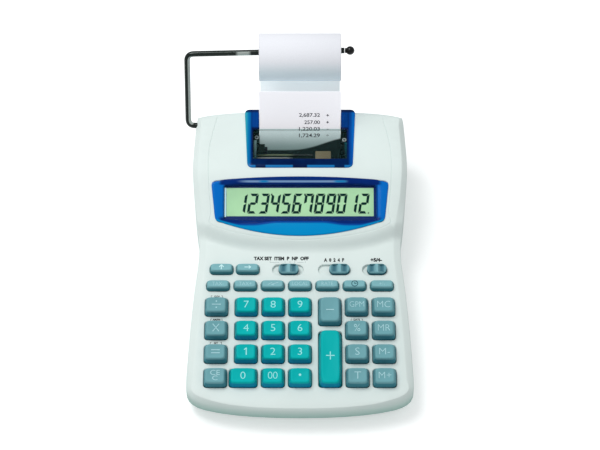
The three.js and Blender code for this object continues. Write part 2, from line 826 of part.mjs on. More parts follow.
function knobGeometry() {
  const tip = rodPoint.clone().addScaledVector(armDirection, rodRise / 2);
  const profile = [new THREE.Vector2(0, 0), new THREE.Vector2(knobNeckRadius, 0)];
  const start = Math.asin(knobNeckRadius / knobRadius);
  const centre = knobNeckLength + knobRadius * Math.cos(start);
  for (let step = 0; step <= roundSides / 2; step += 1) {
    const angle = THREE.MathUtils.lerp(start, Math.PI, (step * 2) / roundSides);
    const radius = step * 2 === roundSides ? 0 : knobRadius * Math.sin(angle);
    profile.push(new THREE.Vector2(radius, centre - knobRadius * Math.cos(angle)));
  }
  const ball = new THREE.LatheGeometry(profile, wireSides);
  ball.rotateZ(-Math.PI / 2);
  return ball.translate(rodEndX + clearance, tip.x, tip.y);
}

// Upper case
function keyHole(key) {
  const hole = roundedRectangle(
    key.width + 2 * clearance,
    key.depth + 2 * clearance,
    key.radius + clearance,
    key.x,
    key.y,
  );
  return solid(prism(hole, deckUnderside - clearance, clearance), deckFrame);
}

function switchSlot(item) {
  const slot = roundedRectangle(item.slot, slotDepth, slotDepth / 2, item.x, -switchRow);
  return solid(prism(slot, deckUnderside - clearance, clearance), deckFrame);
}

const socketY = rearCurve.getPoints(sideSteps).find((p) => p.x <= socketFromMiddle).y;
const socketRear = socketY - clearance * 2;

function socketBlock(grow, yLow, yHigh) {
  return block(
    socketFromMiddle - socketWidth / 2 - grow,
    socketFromMiddle + socketWidth / 2 + grow,
    yLow,
    yHigh,
    socketCentreHeight - socketHeight / 2 - grow,
    socketCentreHeight + socketHeight / 2 + grow,
  );
}

function upperCaseSolid() {
  const outer = solid(roundedColumn(0, seamHeight)).intersect(
    solid(underSurface(0, seamHeight - overrun)),
  );
  const inner = solid(roundedColumn(wall, seamHeight - overrun, innerRadiusShare)).intersect(
    solid(underSurface(-wall, seamHeight - overrun)),
  );
  const bezelHole = solid(
    prism(inset(bezelOutline(), () => -clearance), -wall - clearance, overrun),
    displayFrame,
  );
  const coverHole = solid(prism(inset(coverOutline(), () => -clearance), seamHeight, topLimit));
  const coverCut = coverHole.subtract(solid(underSurface(-wall - clearance, 0)));
  const webHole = solid(
    block(
      -tapeWidth / 2 - webSlotMargin,
      tapeWidth / 2 + webSlotMargin,
      rearY - wall - overrun,
      rearY + overrun,
      webSlotHeight - webSlotBelow,
      webSlotHeight + webSlotAbove,
    ),
  );
  const stubEnd = legX + legOffset + stubLength;
  const armHole = solid(
    rod(wireRadius + clearance, wireSides, legX, stubEnd + clearance, pivot.x, pivot.y),
  );
  const socketHole = solid(socketBlock(clearance, rearY - wall - overrun, rearY + overrun));
  const cuts = [
    inner,
    bezelHole,
    coverCut,
    webHole,
    armHole,
    socketHole,
    ...keys.map(keyHole),
    ...switches.map(switchSlot),
  ];
  return cuts.reduce((made, cut) => made.subtract(cut), outer);
}

// Lower case: a tray with the battery bay, screw posts and standoffs for the boards and the printer
const floorTop = footHeight + wall;
const bayTop = footHeight + doorThickness + bayHeight;
const bayRearY = crestY - bayRearGap;
const bayFrontY = bayRearY - bayDepth;
const frameFrontY = windowFrontY - frameFrontMargin;
const frameRearY = rearY - frameRearMargin;
const plateInner = tapeWidth / 2 + plateGap;
const plateOuter = plateInner + plateThickness;
const boardHalfWidth = halfWidth - boardSideMargin;
const boardFront = -keyboardEnd - flangeReach - boardFrontMargin;
const boardRear = -boardRearMargin;

const postPlaces = [];
[frontY + postEndInset, sideStations.at(-1).y - postEndInset].forEach((y) =>
  [-1, 1].forEach((side) => postPlaces.push({ x: side * (halfWidthAt(y) - postInset), y })),
);

const boardUnderside = (y) => deckAt(y) + boardBottom / Math.cos(deckTilt);
const standoffPlaces = [];
[boardFront / 2, boardRear - 2 * standoffRadius].forEach((y) =>
  [-1, 1].forEach((side) => standoffPlaces.push({ x: side * (boardHalfWidth - 2 * postRadius), y })),
);

function lowerCaseSolid() {
  const lipBottom = seamHeight - baseLip;
  const floorInset = THREE.MathUtils.mapLinear(floorTop, footHeight, lipBottom, baseInset, 0);
  const shell = solid(
    loft([
      atHeight(inset(outline, () => baseInset), footHeight),
      atHeight(outline, lipBottom),
      atHeight(outline, seamHeight - clearance),
    ]),
  );
  const inner = inset(outline, () => wall);
  const hollow = solid(
    loft([
      atHeight(inset(outline, () => wall + floorInset), floorTop),
      atHeight(inner, lipBottom),
      atHeight(inner, seamHeight + overrun),
    ]),
  );
  const bayBox = solid(
    block(
      -bayWidth / 2 - bayWall,
      bayWidth / 2 + bayWall,
      bayFrontY - bayWall,
      bayRearY + bayWall,
      footHeight,
      bayTop + bayWall,
    ),
  );
  const bay = solid(
    block(-bayWidth / 2, bayWidth / 2, bayFrontY, bayRearY, -overrun, bayTop),
  );
  const posts = postPlaces.map(({ x, y }) => {
    const top = Math.min(surfaceAt(x, y - postRadius), surfaceAt(x, y + postRadius));
    return solid(prism(circle(postRadius, wireSides, x, y), floorTop - wall / 2, top - wall - clearance));
  });
  const standoffs = standoffPlaces.map(({ x, y }) => {
    const top = boardUnderside(y - standoffRadius) - clearance;
    return solid(prism(circle(standoffRadius, wireSides, x, y), footHeight, top));
  });
  const rails = [-1, 1].map((side) => {
    const middle = (side * (plateInner + plateOuter)) / 2;
    const half = plateThickness;
    return solid(
      block(
        middle - half,
        middle + half,
        frameFrontY,
        frameRearY,
        footHeight,
        frameBaseHeight - clearance,
      ),
    );
  });
  const added = [bayBox, ...posts, ...standoffs, ...rails];
  return added.reduce((made, piece) => made.add(piece), shell.subtract(hollow)).subtract(bay);
}

// The key mat and the circuit board, both in the deck's frame
function matSolid() {
  const main = solid(
    block(-boardHalfWidth, boardHalfWidth, boardFront, -smallRow + smallKeyDepth, matBottom, matTop),
  );
  const editEdge = modeSlotStart - flangeReach - clearance;
  const edit = solid(
    block(-boardHalfWidth, editEdge, -smallRow, -switchRow + smallKeyDepth, matBottom, matTop),
  );
  const pads = keys.map((key) =>
    solid(
      block(
        key.x - key.width / 4,
        key.x + key.width / 4,
        key.y - key.depth / 4,
        key.y + key.depth / 4,
        matBottom,
        padTop,
      ),
    ),
  );
  return notched([edit, ...pads].reduce((made, piece) => made.add(piece), main));
}

function boardSolid() {
  const board = solid(
    block(-boardHalfWidth, boardHalfWidth, boardFront, boardRear, boardBottom, boardTop),
  );
  const bodies = switches.map((item) =>
    solid(
      block(
        item.x - switchBodyWidth / 2,
        item.x + switchBodyWidth / 2,
        -switchRow - knobDepth / 2,
        -switchRow + knobDepth / 2,
        boardBottom,
        flangeBottom - clearance,
      ),
    ),
  );
  return notched(bodies.reduce((made, piece) => made.add(piece), board));
}

// Cuts room for the screw posts out of a board that lies in the deck's frame
function notched(board) {
  const toDeck = deckFrame.clone().invert();
  const cuts = postPlaces.map(({ x, y }) =>
    solid(prism(circle(postRadius + clearance, wireSides, x, y), footHeight, topLimit), toDeck),
  );
  return cuts.reduce((made, cut) => made.subtract(cut), board);
}

// Display pieces, in the display plane's frame
const displayUnderside = -wall * Math.cos(displayTilt);

function bezelSolid() {
  const body = bezelOutline();
  const flange = inset(body, () => -bezelFlangeReach);
  const top = displayUnderside - clearance;
  const outer = solid(
    loft([
      atHeight(flange, top - flangeThickness),
      atHeight(flange, top),
      atHeight(body, top),
      atHeight(body, bezelProud / 2),
      atHeight(inset(body, () => bezelProud / 2), bezelProud),
    ]),
  );
  const opening = lensOutline(clearance);
  return outer.subtract(solid(prism(opening, top - flangeThickness - overrun, overrun)));
}

function lensOutline(grow) {
  return roundedRectangle(
    lensWidth + 2 * grow,
    lensDepth + 2 * grow,
    lensCornerRadius + grow,
    0,
    lensCentre,
  );
}

const lensBottom = -lensRecess - lensThickness;
const lcdTop = lensBottom - clearance;

// Printer pieces
function coverSolid() {
  const plate = solid(prism(coverOutline(), seamHeight, topLimit))
    .intersect(solid(underSurface(coverProud, 0)))
    .intersect(solid(roundedColumn(0, seamHeight)))
    .subtract(solid(underSurface(-wall, 0)));
  const window = solid(
    block(-windowWidth / 2, windowWidth / 2, windowFrontY, tearY, seamHeight, topLimit),
  );
  const notchHalf = tapeWidth / 2 + notchMargin;
  const notch = solid(block(-notchHalf, notchHalf, tearY - wall, coverRearY, seamHeight, topLimit));
  return plate.subtract(window).subtract(notch);
}

function windowSolid() {
  const half = windowWidth / 2 - clearance;
  const edge = tearY - windowThickness * Math.tan(stripLean);
  const plan = solid(block(-half, half, windowFrontY + clearance, edge, seamHeight, topLimit));
  return plan
    .intersect(solid(underSurface(clearance, 0)))
    .subtract(solid(underSurface(clearance - windowThickness, 0)));
}

const headY = stripAt(railHeight) - railToStrip;
const inkPoint = new THREE.Vector2(stripAt(inkHeight) - inkForward, inkHeight);
const axles = [
  { radius: spindleRadius, y: platenCentre.x, z: platenCentre.y },
  { radius: railRadius, y: headY, z: railHeight },
  { radius: inkAxleRadius, y: inkPoint.x, z: inkPoint.y },
];

function printerFrameSolid() {
  const base = solid(
    block(
      -plateOuter,
      plateOuter,
      frameFrontY,
      frameRearY,
      frameBaseHeight,
      frameBaseHeight + plateThickness,
    ),
  );
  const plates = [-plateOuter, plateInner].map((x) =>
    solid(block(x, x + plateThickness, frameFrontY, frameRearY, frameBaseHeight, topLimit)),
  );
  const bores = axles.map(({ radius, y, z }) =>
    solid(rod(radius + clearance, wireSides, -halfWidth, halfWidth, y, z)),
  );
  return bores.reduce(
    (made, bore) => made.subtract(bore),
    base
      .add(plates[0])
      .add(plates[1])
      .intersect(solid(underSurface(-wall - clearance, 0))),
  );
}

function platenSolid() {
  const half = tapeWidth / 2 + platenMargin;
  const drum = solid(rod(platenRadius, roundSides, -half, half, platenCentre.x, platenCentre.y));
  return drum.add(
    solid(
      rod(spindleRadius, wireSides, -plateOuter, plateOuter, platenCentre.x, platenCentre.y),
    ),
  );
}

function headSolid() {
  const half = headWidth / 2;
  const body = solid(
    block(
      headCentre - half,
      headCentre + half,
      headY - headDepth / 2,
      headY + headDepth / 2,
      headBottom,
      headTop,
    ),
  );
  const noseLow = headBottom - noseHeight / 2;
  const nose = solid(
    block(
      headCentre - half / 2,
      headCentre + half / 2,
      headY,
      stripAt(noseLow) - 2 * stripGap,
      noseLow,
      noseLow + noseHeight,
    ),
  );
  const bore = rod(railRadius + clearance, wireSides, 0, halfWidth, headY, railHeight);
  return body.add(nose).subtract(solid(bore));
}

function inkRollerSolid() {
  const inner = -tapeWidth / 2;
  const drum = rod(inkRadius, roundSides, inner, inner + inkWidth, inkPoint.x, inkPoint.y);
  const axle = rod(inkAxleRadius, wireSides, -plateOuter, inner + inkWidth, inkPoint.x, inkPoint.y);
  return solid(drum).add(solid(axle));
}

function rollSolid() {
  const half = tapeWidth / 2;
  const outer = rod(rollRadius, rollSides, -half, half, rollCentre.x, rollCentre.y);
  const core = rod(coreRadius, roundSides, -tapeWidth, tapeWidth, rollCentre.x, rollCentre.y);
  return solid(outer).subtract(solid(core));
}

function socketSolid() {
  const body = solid(socketBlock(0, socketRear - socketLength, socketRear));
  const boreOutline = circle(socketBoreRadius, wireSides, socketFromMiddle, -socketCentreHeight);
  const turn = new THREE.Matrix4().makeRotationX(-Math.PI / 2);
  const bore = prism(boreOutline, socketRear - socketBoreDepth, socketRear + overrun);
  return body.subtract(solid(bore, turn));
}

// Finishes
const finish = (color, roughness, extra = {}) =>
  new THREE.MeshStandardMaterial({ color, roughness, metalness: 0, ...extra });
const glassy = { transparent: true, opacity: 0.55 };
const finishes = {
  shell: () => finish(0xeef3f1, 0.45),
  base: () => finish(0xdfe6e4, 0.55),
  greyKey: () => finish(0x8fa3b0, 0.4),
  tealKey: () => finish(0x2fb0ad, 0.35),
  blueTint: () => finish(0x1f6fd0, 0.15, glassy),
  clear: () => finish(0xeaf6ff, 0.05, { transparent: true, opacity: 0.3 }),
  lcd: () => finish(0xb4dfa8, 0.25),
  board: () => finish(0x2d6b3f, 0.5),
  mat: () => finish(0x5a6064, 0.8),
  frame: () => finish(0x3a3d40, 0.5),
  rubber: () => finish(0x1c1d1f, 0.85),
  steel: () => finish(0xb9bec2, 0.3, { metalness: 1 }),
  chrome: () => finish(0x4a4d50, 0.12, { metalness: 1 }),
  tan: () => finish(0xb49a66, 0.5),
  ink: () => finish(0x241a38, 0.7),
  paper: () => finish(0xf4f2f8, 0.9),
  black: () => finish(0x141414, 0.35),
};

// Assembly
const calculator = new THREE.Group();
const deck = new THREE.Group();
deck.position.set(0, 0, deckHeight);
deck.rotation.x = deckTilt;
const display = new THREE.Group();
display.position.set(0, bandRun, displayFrontZ);
display.rotation.x = displayTilt;
calculator.add(deck, display);

function place(parent, name, geometry, material, x = 0, y = 0) {
  const mesh = new THREE.Mesh(geometry, material);
  mesh.name = name;
  mesh.position.set(x, y, 0);
  parent.add(mesh);
}

keys.forEach((key) => {
  const material = tealKeys.includes(key.name) ? finishes.tealKey() : finishes.greyKey();
  place(deck, "key_" + key.name, keyGeometry(key), material, key.x, key.y);
});
switches.forEach((item) =>
  place(deck, item.name, switchGeometry(item), finishes.greyKey(), item.knobX, -switchRow),
);
place(deck, "key_mat", geometryOf(matSolid()), finishes.mat());
place(deck, "circuit_board", geometryOf(boardSolid()), finishes.board());

place(display, "display_bezel", geometryOf(bezelSolid()), finishes.blueTint());
place(display, "display_window", prism(lensOutline(0), lensBottom, -lensRecess), finishes.clear());
place(display, "lcd_glass", prism(lensOutline(0), lcdTop - lcdThickness, lcdTop), finishes.lcd());

place(calculator, "upper_case", geometryOf(upperCaseSolid()), finishes.shell());
place(calculator, "lower_case", geometryOf(lowerCaseSolid()), finishes.base());
place(calculator, "printer_cover", geometryOf(coverSolid()), finishes.blueTint());
place(calculator, "tear_window", geometryOf(windowSolid()), finishes.clear());
place(calculator, "printer_frame", geometryOf(printerFrameSolid()), finishes.frame());
place(calculator, "feed_roller", geometryOf(platenSolid()), finishes.rubber());
place(calculator, "print_head", geometryOf(headSolid()), finishes.tan());
const rail = rod(railRadius, wireSides, -plateOuter, plateOuter, headY, railHeight);
place(calculator, "carriage_shaft", rail, finishes.steel());
place(calculator, "ink_roller", geometryOf(inkRollerSolid()), finishes.ink());
place(calculator, "paper_tape", tapeGeometry(), finishes.paper());
place(calculator, "paper_roll", geometryOf(rollSolid()), finishes.paper());
place(calculator, "roll_holder_arm", armGeometry(), finishes.chrome());
place(calculator, "arm_knob", knobGeometry(), finishes.black());

const door = block(
  -bayWidth / 2 + clearance,
  bayWidth / 2 - clearance,
  bayFrontY + clearance,
  bayRearY - clearance,
  footHeight,
  footHeight + doorThickness,
);
place(calculator, "battery_door", door, finishes.base());

const footOutline = roundedRectangle(footWidth, footDepth, footCornerRadius);
const footPad = () => prism(footOutline, 0, footHeight - clearance);
place(calculator, "front_foot", footPad(), finishes.rubber(), 0, frontY + footInset + footDepth / 2);
place(calculator, "rear_foot", footPad(), finishes.rubber(), 0, rearY - footInset - footDepth / 2);
place(calculator, "dc_socket", geometryOf(socketSolid()), finishes.black());

// The origin goes under the middle of the whole object
calculator.updateMatrixWorld(true);
const bounds = new THREE.Box3().setFromObject(calculator, true);
const middle = bounds.getCenter(new THREE.Vector3());
calculator.position.set(-middle.x, -middle.y, -bounds.min.z);

export default calculator;
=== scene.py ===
"""The looks of a desktop printing calculator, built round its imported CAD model.

Lengths are in millimetres in the part's own frame: x from the middle of the case, y from the foot of the
hood towards the rear, z up from the desk. place() turns them into the row frame in metres.
"""

import json  # noqa: E402
import math  # noqa: E402
import random  # noqa: E402

import bmesh  # noqa: E402
import bpy  # noqa: E402
import numpy as np  # noqa: E402
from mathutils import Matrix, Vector  # noqa: E402
from mathutils.geometry import delaunay_2d_cdt  # noqa: E402


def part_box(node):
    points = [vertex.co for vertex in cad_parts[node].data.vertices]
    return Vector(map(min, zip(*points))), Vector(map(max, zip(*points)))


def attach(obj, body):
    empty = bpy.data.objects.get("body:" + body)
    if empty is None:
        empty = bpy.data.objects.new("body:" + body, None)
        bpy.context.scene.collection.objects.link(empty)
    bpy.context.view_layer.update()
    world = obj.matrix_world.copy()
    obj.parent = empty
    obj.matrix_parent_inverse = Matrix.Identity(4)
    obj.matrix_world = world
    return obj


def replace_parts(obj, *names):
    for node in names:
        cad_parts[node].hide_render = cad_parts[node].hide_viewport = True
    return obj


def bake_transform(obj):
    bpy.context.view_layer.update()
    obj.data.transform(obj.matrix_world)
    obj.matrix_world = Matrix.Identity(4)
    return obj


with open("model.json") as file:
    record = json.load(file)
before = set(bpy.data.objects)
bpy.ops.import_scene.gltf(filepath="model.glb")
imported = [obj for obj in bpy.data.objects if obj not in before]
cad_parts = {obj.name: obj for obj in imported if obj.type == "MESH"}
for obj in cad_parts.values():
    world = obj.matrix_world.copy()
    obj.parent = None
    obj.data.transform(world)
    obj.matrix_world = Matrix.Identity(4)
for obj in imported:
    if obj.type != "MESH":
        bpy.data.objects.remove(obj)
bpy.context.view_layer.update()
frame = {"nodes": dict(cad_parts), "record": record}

MM = 0.001

# Case
WALL = 2.5
CLEARANCE = 0.3
SEAM_HEIGHT = 12
DECK_HEIGHT = 34.9
DECK_TILT = math.radians(6)
FRONT_Y = -117.591
REAR_Y = 102.041
BAND_RUN = 5.3
BAND_RISE = 5.5
BAND_BOW = 15.9
DISPLAY_TILT = math.radians(19.9)
CREST_SLANT = 46.2
SHOULDER_RUN = 5.3
SHOULDER_RISE = 1.2
PRINTER_RUN = 48
PRINTER_RISE = 2.8
WAIST_EDGE_RADIUS = 4
FRONT_EDGE_RADIUS = 2.2
CORNER_EDGE_RADIUS = 6
HOOD_EDGE_RADIUS = 7
REAR_EDGE_RADIUS = 3
REAR_EDGE_FADE = 9
RIDGE_FRONT = 1.1
RIDGE_CORNER = 2.4
RIDGE_SIDE = 5.4
RIDGE_HOOD = 4.2
SIDE_SHARES = [
    (1, 0.088), (0.998, 0.126), (0.977, 0.262), (0.947, 0.397), (0.9215, 0.479), (0.9113, 0.526),
    (0.914, 0.572), (0.933, 0.6265), (0.9555, 0.69), (0.974, 0.763), (0.9765, 0.818), (0.9675, 0.8905),
    (0.956, 0.95), (0.942, 0.975),
]
FRONT_CONTROL_SHARE = (0.545, 0)
FRONT_CORNER_SHARE = (0.83, 0.027)
FRONT_CORNER_CONTROL_SHARE = (1.003, 0.0436)
REAR_CONTROL_SHARE = (0.78, 1)
# How far in and how far down the shell's edge runs from its wall to its plate, in shares of the edge's
# size: a wall, a slope and a tight ridge
EDGE_SHARES = [
    (0, 1), (0, 0.86), (0.015, 0.75), (0.07, 0.66), (0.18, 0.57), (0.48, 0.33), (0.76, 0.12), (0.88, 0.045),
    (0.95, 0.01), (1, 0),
]

# How softly the planes of the case run into each other, as heights
FOOT_BLEND = 2.4
BAND_BLEND = 1.5
CREST_BLEND = 0.5

# The fine line moulded round the hood
GROOVE_POINTS = [(58.4, 95.5), (63.4, 70.2), (63.5, 47.1), (61.6, 25.1), (60.4, 15.2), (32, 8.2), (0, 5.6)]
GROOVE_HALF_WIDTH = 0.4
GROOVE_DEPTH = 0.38

# Keys and switches
FLANGE_REACH = 0.65
KEY_RADIUS = 1.9
SMALL_HOLE_RADIUS = 2.9
SMALL_KEY_DEPTH = 9
HOLE_CHAMFER = 0.35
SWITCH_ROW = 14.5
SLOT_DEPTH = 7.9
# Each slot's middle and width, and the ends of the slit that its knob's stem runs in
SLOTS = {
    "print_mode_switch": (-8.35, 21.3, -14.3, -2.4), "decimal_switch": (23.55, 22, 21.3, 33.85),
    "rounding_switch": (51.45, 17, 47.3, 55.5),
}
TRAY_DEPTH = 1.8
SLIT_HALF_DEPTH = 1.3
STEM_HALF_DEPTH = 1.0
STEM_HALF_WIDTH = 2.0
STEM_SHIFTS = {"print_mode_switch": 0.0, "decimal_switch": 4.0, "rounding_switch": 0.0}
SCALLOP_RADIUS = 2.7
SCALLOP_DEPTH = 1.9
SCALLOP_X = 3.5

# Display, in the display plane's own frame: y runs up the slope from the top of the front band
BEZEL_FRONT = 12.9
BEZEL_REAR = 42.2
BEZEL_FRONT_HALF = 58.05
BEZEL_REAR_HALF = 61.25
BEZEL_FRONT_SWEEP = 9.3
BEZEL_REAR_SWEEP = 2.6
BEZEL_CORNER = 4
BEZEL_PROUD = 0.8
LENS_HALF_WIDTH = 52.5
LENS_DEPTH = 24.4
LENS_CENTRE = 26.9
LENS_RECESS = 1.4
LENS_THICKNESS = 1.2
LCD_LEFT, LCD_RIGHT, LCD_FRONT, LCD_REAR = -51.1, 51.2, 17.6, 37.9
LCD_THICKNESS = 2.8
DIGIT_PITCH = 7.71
DIGIT_HEIGHT = 14.3
DIGIT_WIDTH = 6.3
DIGIT_STROKE = 1.8
DIGIT_LEAN = math.tan(math.radians(8.5))
DIGIT_BASE = 19.5
LAST_DIGIT_X = 44.4

# Printer
COVER_FRONT_HALF = 36.3
COVER_REAR_HALF = 38.7
COVER_CORNER = 3.5
COVER_PROUD = 0.8
WINDOW_HALF = 33.3
WINDOW_DEPTH = 25.2
COVER_FRONT_MARGIN = 0.7
COVER_FRONT_RIM = 6.2
COVER_REAR_GAP = 0.5
NOTCH_HALF = 29.4
TAPE_WIDTH = 57
TAPE_THICKNESS = 0.3
STRIP_LEAN = math.radians(17)
STRIP_REACH = 32.5
PRINT_DEPTH = 26.4
PLATEN_RADIUS = 6
WEB_SLOT_HEIGHT = 33
WEB_SLOT_BELOW = 2.5
WEB_SLOT_ABOVE = 8.5
WEB_SLOT_MARGIN = 2
# What shows through the window, each as low and high x, y and z
GUIDE_RAIL = (-34.5, 9, 70.7, 71.9, 47.7, 48.6)
GUIDE_STRIP = (-34.5, -5, 68.5, 69.4, 47.7, 48.3)
RAIL_BED = (-34.5, 9, 67.6, 72.6, 47.2, 47.75)
ROLLER_CLIP = (-29.7, -24.8, 71.7, 78.9, 49.8, 51)
WINDOW_SIDE_LEFT = (-32.5, -30.6, 64, 80, 53, 54.4)
WINDOW_SIDE_RIGHT = (31.4, 33, 64, 78, 53, 54.4)
SCREW_SHELF_LEFT = (-35.3, -28.8, 79.4, 93, 50.2, 51.4)
SCREW_SHELF_RIGHT = (28.8, 35.3, 79.4, 93, 50.2, 51.4)
SCREW_LEFT = (-30.6, 84.2)
SCREW_RIGHT = (31.2, 82.0)
SCREW_RADIUS = 1.5
SCREW_LOW, SCREW_HIGH = 51.3, 51.9

# Roll and arm
ROLL_RADIUS = 16.6
CORE_RADIUS = 7.4
CORE_WALL = 1.3
LAYER_SHIFT = 0.22
ARM_LENGTH = 54.5
ARM_ANGLE = math.radians(56.25)
PIVOT_HEIGHT = 54.7
PIVOT_MARGIN = 9.7
WIRE_RADIUS = 2
LEG_OFFSET = 5.75
STUB_LENGTH = 7
BEND_RADIUS = 5
ROD_OVERHANG = 2.4
ROD_RISE = 2.6
KNOB_RADIUS = 3.05
NECK_RADIUS = 1.7
NECK_LENGTH = 1.2

# Camera and lamp, the lamp's places in metres
CAMERA_ELEVATION = math.radians(58)
CAMERA_PITCH = math.radians(58 - 0.993)
CAMERA_DISTANCE = 1500
CAMERA_LENS = 130.08
CAMERA_AIM = (0, -6.5, 30)
LAMP_PLACE = (-0.4, 0.24, 1.15)
LAMP_TARGET = (0, 0, 0.03)
LAMP_SIZE = (0.5, 0.6)
LAMP_POWER = 7.7

random.seed(7)
upper_low, upper_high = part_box("upper_case")
ORIGIN = Vector(((upper_low.x + upper_high.x) / 2 / MM, upper_high.y / MM - REAR_Y, 0))
HALF_WIDTH = (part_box("lower_case")[1].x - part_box("lower_case")[0].x) / 2 / MM
CASE_DEPTH = REAR_Y - FRONT_Y


def place(x, y, z):
    """A point of the part's own frame, in millimetres, as a point of the row frame in metres."""
    return Vector(((x + ORIGIN.x) * MM, (y + ORIGIN.y) * MM, z * MM))


def slope(tilt, foot_y, foot_z):
    """Takes x, the way up a slope and the height off it to the part's own frame."""
    cosine, sine = math.cos(tilt), math.sin(tilt)

    def to_point(x, y, z):
        return (x, foot_y + y * cosine - z * sine, foot_z + y * sine + z * cosine)

    return to_point


on_deck = slope(DECK_TILT, 0, DECK_HEIGHT)
on_display = slope(DISPLAY_TILT, BAND_RUN, DECK_HEIGHT + BAND_RISE)


def deck_box(node):
    """Lowest and highest corner of a CAD node in the deck's frame."""
    cosine, sine = math.cos(DECK_TILT), math.sin(DECK_TILT)
    x, y, z = (np.array([v.co for v in frame["nodes"][node].data.vertices]) / MM - np.array(ORIGIN)).T
    z -= DECK_HEIGHT
    points = np.column_stack([x, y * cosine + z * sine, z * cosine - y * sine])
    return points.min(0), points.max(0)


def box_of(node):
    """Lowest and highest corner of a CAD node in the part's own frame."""
    return [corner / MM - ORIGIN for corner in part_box(node)]


# Curves in plan
def between(first, second, share):
    return first + (second - first) * share


def towards(start, end, distance):
    """The point at a distance from one point on the way to another."""
    return start + (end - start) / np.linalg.norm(end - start) * distance


def bezier(start, control, end, steps):
    t = np.linspace(0, 1, steps + 1)[:, None]
    start, control, end = map(np.array, (start, control, end))
    return (1 - t) ** 2 * start + 2 * (1 - t) * t * control + t**2 * end


def smooth_through(points, steps):
    """A uniform Catmull-Rom curve through the points."""
    points = np.array(points, float)
    padded = np.vstack([points[0], points, points[-1]])
    t = (np.arange(steps) / steps)[:, None]
    curve = []
    for a, b, c, d in zip(padded, padded[1:], padded[2:], padded[3:]):
        curve.append((2 * t**3 - 3 * t**2 + 1) * b + (t**3 - 2 * t**2 + t) * (c - a) / 2
                     + (3 * t**2 - 2 * t**3) * c + (t**3 - t**2) * (d - b) / 2)
    return np.vstack([*curve, points[-1:]])


def circle(radius, sides, shift=0.0):
    angles = (np.arange(sides) + shift) * 2 * math.pi / sides
    return radius * np.column_stack([np.cos(angles), np.sin(angles)])


def superellipse(half_x, half_y, power, x, y):
    unit = circle(1, 48, 0.5)
    return np.sign(unit) * np.abs(unit) ** (2 / power) * [half_x, half_y] + [x, y]


def rounded_rectangle(width, depth, radius, x=0, y=0, steps=6):
    points = []
    for corner in range(4):
        middle = (corner + 0.5) * math.pi / 2
        centre_x = x + math.copysign(width / 2 - radius, math.cos(middle))
        centre_y = y + math.copysign(depth / 2 - radius, math.sin(middle))
        for step in range(steps + 1):
            angle = (corner + step / steps) * math.pi / 2
            points.append((centre_x + radius * math.cos(angle), centre_y + radius * math.sin(angle)))
    return np.array(points)


def bowed_outline(corners, sweeps, radius):
    """A rounded four-sided outline; an edge with a sweep bows by it at its middle."""
    corners = [np.array(c, float) for c in corners]
    points = []
    for i, corner in enumerate(corners):
        before, after = corners[i - 1], corners[(i + 1) % len(corners)]
        start, end = towards(corner, before, radius), towards(corner, after, radius)
        points.extend(bezier(start, corner, end, 6))
        middle = (corner + after) / 2 + np.array([0, 2 * sweeps[i]])
        points.extend(bezier(end, middle, towards(after, corner, radius), 28)[1:-1])
    return np.array(points)


def directions(line):
    """The unit direction of an open line at each of its points."""
    along = np.gradient(np.array(line, float), axis=0)
    return along / np.linalg.norm(along, axis=1)[:, None]


def inset(outline, distance):
    """Each point of an anticlockwise outline moved inwards by its distance, with mitred corners."""
    before = outline - np.roll(outline, 1, 0)
    after = np.roll(outline, -1, 0) - outline
    before /= np.linalg.norm(before, axis=1)[:, None]
    after /= np.linalg.norm(after, axis=1)[:, None]
    first = np.stack([-before[:, 1], before[:, 0]], 1)
    second = np.stack([-after[:, 1], after[:, 0]], 1)
    middle = first + second
    middle /= np.linalg.norm(middle, axis=1)[:, None]
    reach = np.broadcast_to(distance, len(outline)) / (middle * first).sum(1)
    return outline + middle * reach[:, None]


def from_share(share):
    return np.array([share[0] * HALF_WIDTH, FRONT_Y + share[1] * CASE_DEPTH])


SIDE = smooth_through([from_share(s) for s in SIDE_SHARES], 7)


def case_outline():
    front = bezier(from_share((0, 0)), from_share(FRONT_CONTROL_SHARE), from_share(FRONT_CORNER_SHARE), 16)
    corner = bezier(front[-1], from_share(FRONT_CORNER_CONTROL_SHARE), from_share(SIDE_SHARES[0]), 12)
    rear = bezier(SIDE[-1], from_share(REAR_CONTROL_SHARE), from_share((0, 1)), 20)
    right = np.vstack([front, corner[1:-1], SIDE, rear[1:]])
    return np.vstack([right, right[1:-1][::-1] * [-1, 1]])


OUTLINE = case_outline()


def half_width_at(y):
    return float(np.interp(y, SIDE[:, 1], SIDE[:, 0]))


# Height of the case's outer surface
def soft_max(a, b, blend):
    near = np.maximum(blend - np.abs(a - b), 0) / blend
    return np.maximum(a, b) + near**2 * blend / 4


def soft_min(a, b, blend):
    return -soft_max(-a, -b, blend)


CREST_Y = BAND_RUN + CREST_SLANT * math.cos(DISPLAY_TILT)
CREST_Z = DECK_HEIGHT + BAND_RISE + CREST_SLANT * math.sin(DISPLAY_TILT)
SHOULDER_Y = CREST_Y + SHOULDER_RUN
SHOULDER_Z = CREST_Z + SHOULDER_RISE


def band_foot(x):
    """Where the front band of the hood starts: it sweeps back towards the sides."""
    return BAND_BOW * np.abs(np.asarray(x) / HALF_WIDTH) ** 3


